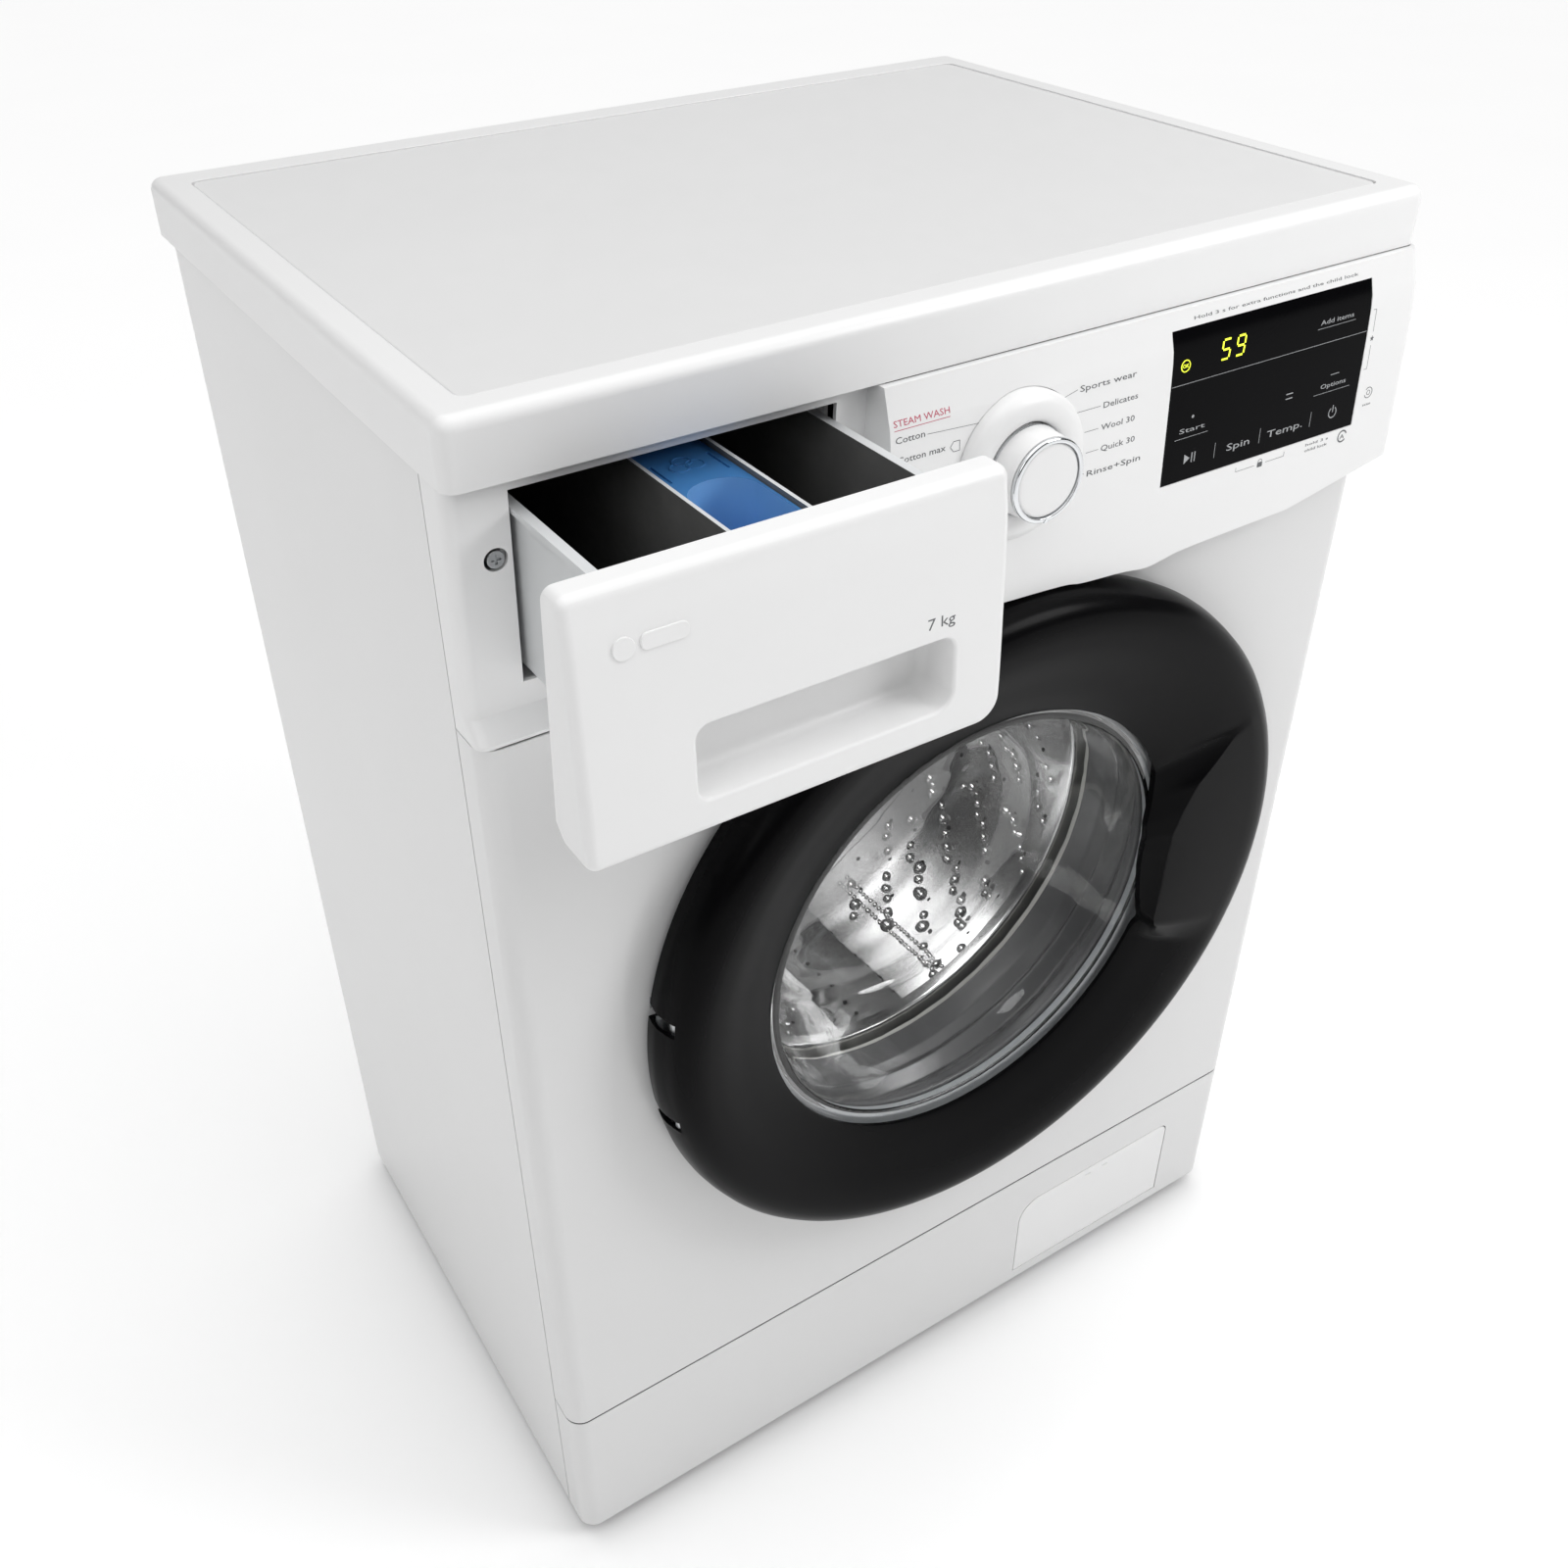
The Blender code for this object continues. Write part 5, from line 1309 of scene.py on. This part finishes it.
def makeDomes():
    draw = random.Random(drumLook["seed"])
    large, small, holes = [], [], []
    row = 0
    y = drumLook["front"] + 0.010
    while y < drumLook["back"] - 0.006:
        angle = row % 2 * 4.5
        while angle < 360:
            here = angle + draw.uniform(-1.6, 1.6)
            if clearOfLifters(here, 3.0):
                count = draw.choice((1, 2, 3, 3))
                for k in range(count):
                    spotY = y + k * 0.0085 - 0.006 + draw.uniform(-0.0015, 0.0015)
                    spotAngle = here + k * 1.9
                    if drumLook["front"] < spotY < drumLook["back"] and clearOfLifters(spotAngle, 1.5):
                        (large if draw.random() < 0.3 else small).append((spotAngle, spotY))
                if clearOfLifters(here + 5.0, 1.5):
                    holes.append((here + 5.0, y + 0.011))
            angle += 9.0
        y += 0.027
        row += 1
    wall = drumLook["wall"]
    pieces = copies(dome(0.0058, 0.0042), [onWall(a, y, wall) for a, y in large])
    pieces += copies(dome(0.0042, 0.0032, 10), [onWall(a, y, wall) for a, y in small])
    dress(gather("drumDomes", pieces), "drum", "stainless", angle=60, weighted=False)
    # the holes between the domes: dark discs of painted shade
    pieces = copies(dot(0.0019), [onWall(a, y, wall) for a, y in holes])
    seams = [(angle, 0.108 + 0.0052 * i) for angle in (-64.5, -62.7, 55.5, 57.3, 175.5, 177.3) for i in range(34)]
    beads = copies(dome(0.0021, 0.0018, 8), [onWall(a, y, wall) for a, y in seams])
    dress(gather("drumBeads", beads), "drum", "stainless", angle=60, weighted=False)
    dress(gather("drumHoles", pieces), "drum", "stainless", material=extra["holes"], weighted=False)


def makeLifters():
    for number, middle in enumerate(drumLook["lifters"], 1):
        lifter = fresh(f"lifter{number}", f"lifter_{number}")
        softEdges(lifter, 0.0030, 4, 25)
        dress(lifter, "drum", "stainless", [f"lifter_{number}"], angle=40)
        places = []
        for side in (-1, 1):            # rows of holes on the sloping sides, as dark discs of painted shade
            for i in range(9):
                y = 0.122 + 0.017 * i
                crest = 0.196 - (y - 0.104) * 0.006 / 0.172
                foot, half = 0.2330, (0.011, 0.029)
                t = 0.42
                r = crest + (foot - crest) * t
                offset = half[0] + (half[1] - half[0]) * t
                angle = middle + side * degrees(offset / r)
                slope = side * (pi / 2 - 0.45)
                place = onWall(angle, y, hypot(r, offset)) @ Matrix.Rotation(slope, 4, "Y")
                places.append(place)
        dots = copies(dot(0.0016, 0.0004), places)
        dress(gather(f"lifterHoles{number}", dots), "drum", "stainless", material=extra["holes"], weighted=False)


def makeBackHoles():
    # the holes in the back: dark discs of painted shade
    places = []
    for r, count in ((0.098, 18), (0.131, 24), (0.169, 30), (0.205, 36)):
        for i in range(count):
            turn = 2 * pi * (i + 0.5 * (count % 4 == 0)) / count
            spot = axisPoint() + Vector((r * cos(turn), 0.2980, r * sin(turn)))
            places.append(Matrix.Translation(spot) @ Matrix.Rotation(pi / 2, 4, "X"))
    dress(gather("drumBackHoles", copies(dot(0.0020), places)), "drum", "stainless", material=extra["holes"],
          weighted=False)


makeDrumShell()
makeDomes()
makeLifters()
makeBackHoles()
print("drum ready")


# feet and the fittings at the back
def makeFeet():
    for name, x, y in (("front_left", -0.250, 0.075), ("front_right", 0.250, 0.075), ("back_left", -0.250, 0.375),
                       ("back_right", 0.250, 0.375)):
        profile = softened([(0.0001, 0.0), (0.0195, 0.0), (0.0205, 0.002), (0.0185, 0.0085), (0.0050, 0.0120),
                            (0.0050, 0.0355), (0.0001, 0.0355)], 0.0008, 3)
        foot = turned("foot" + name.title().replace("_", ""), [(max(r, 0), z) for r, z in profile],
                      at(x, y, 0), 40, upwards=True)
        dress(foot, "foot_" + name, "rubber", ["foot_" + name], extra["blackRubber"])


def makeRearCover():
    back = sheetLook["back"]
    cover = pushOut("rearCover", onFront(roundedOutline(-0.175, 0.175, 0.225, 0.665, (0.045,) * 4, 12), back + 0.0003),
                    (0, 0.0011, 0))
    pressed = pushOut("pressed", onFront(roundedOutline(-0.145, 0.145, 0.255, 0.635, (0.035,) * 4, 12), back),
                      (0, 0.0042, 0))
    bevelWhere(pressed, behind(back + 0.0041), 0.0028, 5)
    joinOn(cover, pressed)
    for z in (0.340, 0.445, 0.550):     # stiffening flutes pressed back in
        flute = pushOut("flute", onFront(roundedOutline(-0.105, 0.105, z - 0.012, z + 0.012, (0.0119,) * 4, 8),
                                         back + 0.0026), (0, 0.01, 0))
        bevelWhere(flute, ahead(back + 0.0027), 0.0014, 4)
        cutAway(cover, flute)
    dress(cover, "cabinet", "enamel", ["rear_cover"])
    heads = []
    places = [(x, z) for x in (-0.163, 0.163) for z in (0.275, 0.385, 0.505, 0.615)]
    places += [(x, z) for x in (-0.110, 0.0, 0.110) for z in (0.237, 0.653)]
    places += [(x, z) for x in (-0.285, 0.285) for z in (0.060, 0.440, 0.790)]
    for x, z in places:
        y = back + (0.0014 if abs(x) < 0.17 else 0)
        profile = softened([(0, y + 0.0026), (0.0046, y + 0.0026), (0.0050, y - 0.0002), (0, y - 0.0002)], 0.0006, 3)
        profile[0], profile[-1] = (0, y + 0.0026), (0, y - 0.0002)
        head = turned("head", [(max(r, 0), d) for r, d in profile], at(x, 0, z), 20)
        crossCut(head, x, z, 0.0028, 0.0005, y + 0.0015, y + 0.01)
        heads.append(head)
    dress(gather("rearScrews", heads), "cabinet", "steel")
    caps = []
    for x, z in ((-0.215, 0.300), (0.215, 0.300), (-0.215, 0.600), (0.215, 0.600)):   # transit bolt caps
        profile = [(0, back + 0.0042), (0.0080, back + 0.0042), (0.0125, back + 0.0030), (0.0135, back + 0.0012),
                   (0.0135, back - 0.0001), (0, back - 0.0001)]
        caps.append(turned("cap", profile, at(x, 0, z), 32))
    dress(gather("transitCaps", caps), "cabinet", "grey_plastic")


def makeRearFittings():
    valve = fresh("inletValve", "inlet_valve")
    softEdges(valve, 0.0006, 2, 50)
    dress(valve, "cabinet", "white_plastic", ["inlet_valve"])
    threads = []
    for i in range(5):
        y = 0.4245 + 0.0024 * i
        thread = [(0.0100, y - 0.0009), (0.0112, y - 0.0002), (0.0112, y + 0.0002), (0.0100, y + 0.0009)]
        threads.append(turned("thread", thread, at(0.200, 0, 0.775), 40))
    dress(gather("valveThread", threads), "cabinet", "white_plastic")
    outlet = [(0.0085, 0.390), (0.0115, 0.390), (0.0115, 0.4080), (0.0180, 0.4080), (0.0180, 0.4160),
              (0.0120, 0.4160), (0.0120, 0.4370), (0.0085, 0.4370)]
    dress(turned("drainOutlet", softened(outlet, 0.0006, 2), at(-0.200, 0, 0.745), 40), "cabinet", "grey_plastic",
          ["drain_outlet"])
    gland = [(0.0040, 0.4080), (0.0130, 0.4080), (0.0130, 0.4162), (0.0093, 0.4162), (0.0093, 0.4184),
             (0.0120, 0.4184), (0.0085, 0.4340), (0.0040, 0.4340)]
    dress(turned("cordGland", softened(gland, 0.0005, 2), at(0.235, 0, 0.700), 40), "cabinet", "rubber",
          ["cord_gland"], extra["blackRubber"])


def makeHoses():                       # corrugated in life: they give when the tub moves
    hoses = (("dispenserHose", "dispenser_hose", (-0.185, 0.07, 0.698), (-0.185, 0.07, 0.662)),
             ("drainHose", "drain_hose", (0.09, -0.04, 0.100), (0.09, -0.04, 0.168)))
    for name, node, fixed, moving in hoses:
        hose = fresh(name, node)
        activate(hose)
        bpy.ops.object.shade_smooth_by_angle(angle=radians(40))
        hose.data.materials.append(extra["blackRubber"])
        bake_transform(hose)
        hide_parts(node)


makeFeet()
makeRearCover()
makeRearFittings()
makeHoses()
print("feet and back ready")


# CAD nodes that show as they are
for part in frame["record"]["subparts"]:
    node = frame["nodes"][part["node"]]
    material = finish[part["material_slot"]]
    if node.data.materials:
        for i in range(len(node.data.materials)):
            node.data.materials[i] = material
    else:
        node.data.materials.append(material)
print("CAD nodes dressed")


# room and camera
stageLook = {"floor": ("#FCFCFC", "#FEFEFE"), "floorSize": 60.0, "paper": "#FCFCFC",
             "sky": ((0.0, 0.0), (0.30, 0.04), (0.60, 0.20), (0.85, 0.78), (1.0, 1.1)), "skyStrength": 2.05}


def makeFloor():
    deselectAll()
    bpy.ops.mesh.primitive_plane_add(size=stageLook["floorSize"], location=(0, 0, cadLow.z))
    floor = bpy.context.object
    floor.name = "floor"
    material, tree, shader, place = startMaterial("matt backdrop", Roughness=0.9, Specular_IOR_Level=0.1)
    toned(tree, noise(tree, place, 400, 2.0), stageLook["floor"], shader.inputs["Base Color"])
    floor.data.materials.append(material)


def makeSky():                         # a tent that is bright overhead and dimmer towards the horizon
    world = bpy.data.worlds.new("studio")
    bpy.context.scene.world = world
    world.use_nodes = True
    tree = world.node_tree
    direction = addNode(tree, "ShaderNodeTexCoord").outputs["Generated"]
    height = addNode(tree, "ShaderNodeSeparateXYZ", {"Vector": direction}).outputs["Z"]
    ramp = addNode(tree, "ShaderNodeValToRGB", {"Fac": height})
    stops = ramp.color_ramp.elements
    stops.remove(stops[1])
    for i, (place, level) in enumerate(stageLook["sky"]):
        stop = stops[i] if i < 1 else stops.new(place)
        stop.position, stop.color = place, (level, level, level, 1)
    background = tree.nodes["Background"]
    tree.links.new(ramp.outputs["Color"], background.inputs["Color"])
    background.inputs["Strength"].default_value = stageLook["skyStrength"]
    # what is seen far off is plain paper
    paper = addNode(tree, "ShaderNodeBackground", {"Color": linear(stageLook["paper"]), "Strength": 1.0})
    seen = addNode(tree, "ShaderNodeLightPath").outputs["Is Camera Ray"]
    mix = addNode(tree, "ShaderNodeMixShader", {0: seen, 1: background.outputs["Background"],
                                                2: paper.outputs["Background"]})
    tree.links.new(mix.outputs["Shader"], tree.nodes["World Output"].inputs["Surface"])


# each lamp's place, aim, width and watts; the last one shines inside the drum
lampLook = {"softboxRight": ((1.0, -1.1, 1.55), (0.28, -0.1, 0.75), 0.7, 10.0),
            "softboxLeft": ((-1.5, -0.9, 1.7), (-0.3, 0.05, 0.75), 0.9, 3.2),
            "drumGlow": (at(-0.05, 0.160, doorMiddle.z + 0.15), at(0.02, 0.20, doorMiddle.z - 0.2), 0.20, 0.50)}


def addLamp(name, place, aim, size, watts):
    bpy.ops.object.light_add(type="AREA", location=place)
    lamp = bpy.context.object
    lamp.name = name
    lamp.data.shape = "DISK"
    lamp.data.size = size
    lamp.data.energy = watts
    lamp.rotation_euler = (Vector(aim) - Vector(place)).to_track_quat("-Z", "Y").to_euler()
    return lamp


# angles in degrees: turn from straight ahead, tilt down, roll
cameraLook = {"turn": 31.766, "tilt": 34.805, "roll": -0.875, "place": (-0.4991, -0.5595, 1.0964), "lens": 35.76,
              "shift": (0.0183, -0.0253)}


def makeCamera():
    turn, tilt, roll = [radians(cameraLook[key]) for key in ("turn", "tilt", "roll")]
    forward = Vector((sin(turn) * cos(tilt), cos(turn) * cos(tilt), -sin(tilt)))
    right = Vector((cos(turn), -sin(turn), 0))
    up = right.cross(forward)
    side = right * cos(roll) + up * sin(roll)
    top = up * cos(roll) - right * sin(roll)
    bpy.ops.object.camera_add()
    camera = bpy.context.object
    camera.matrix_world = Matrix((side, top, -forward)).transposed().to_4x4()
    camera.location = at(*cameraLook["place"])
    camera.data.sensor_width = 36
    camera.data.lens = cameraLook["lens"]
    camera.data.shift_x, camera.data.shift_y = cameraLook["shift"]
    camera.data.clip_start = 0.01
    bpy.context.scene.camera = camera


makeFloor()
makeSky()
for name, (place, aim, size, watts) in lampLook.items():
    addLamp(name, place, aim, size, watts)
makeCamera()
bpy.context.scene.view_settings.view_transform = "Standard"
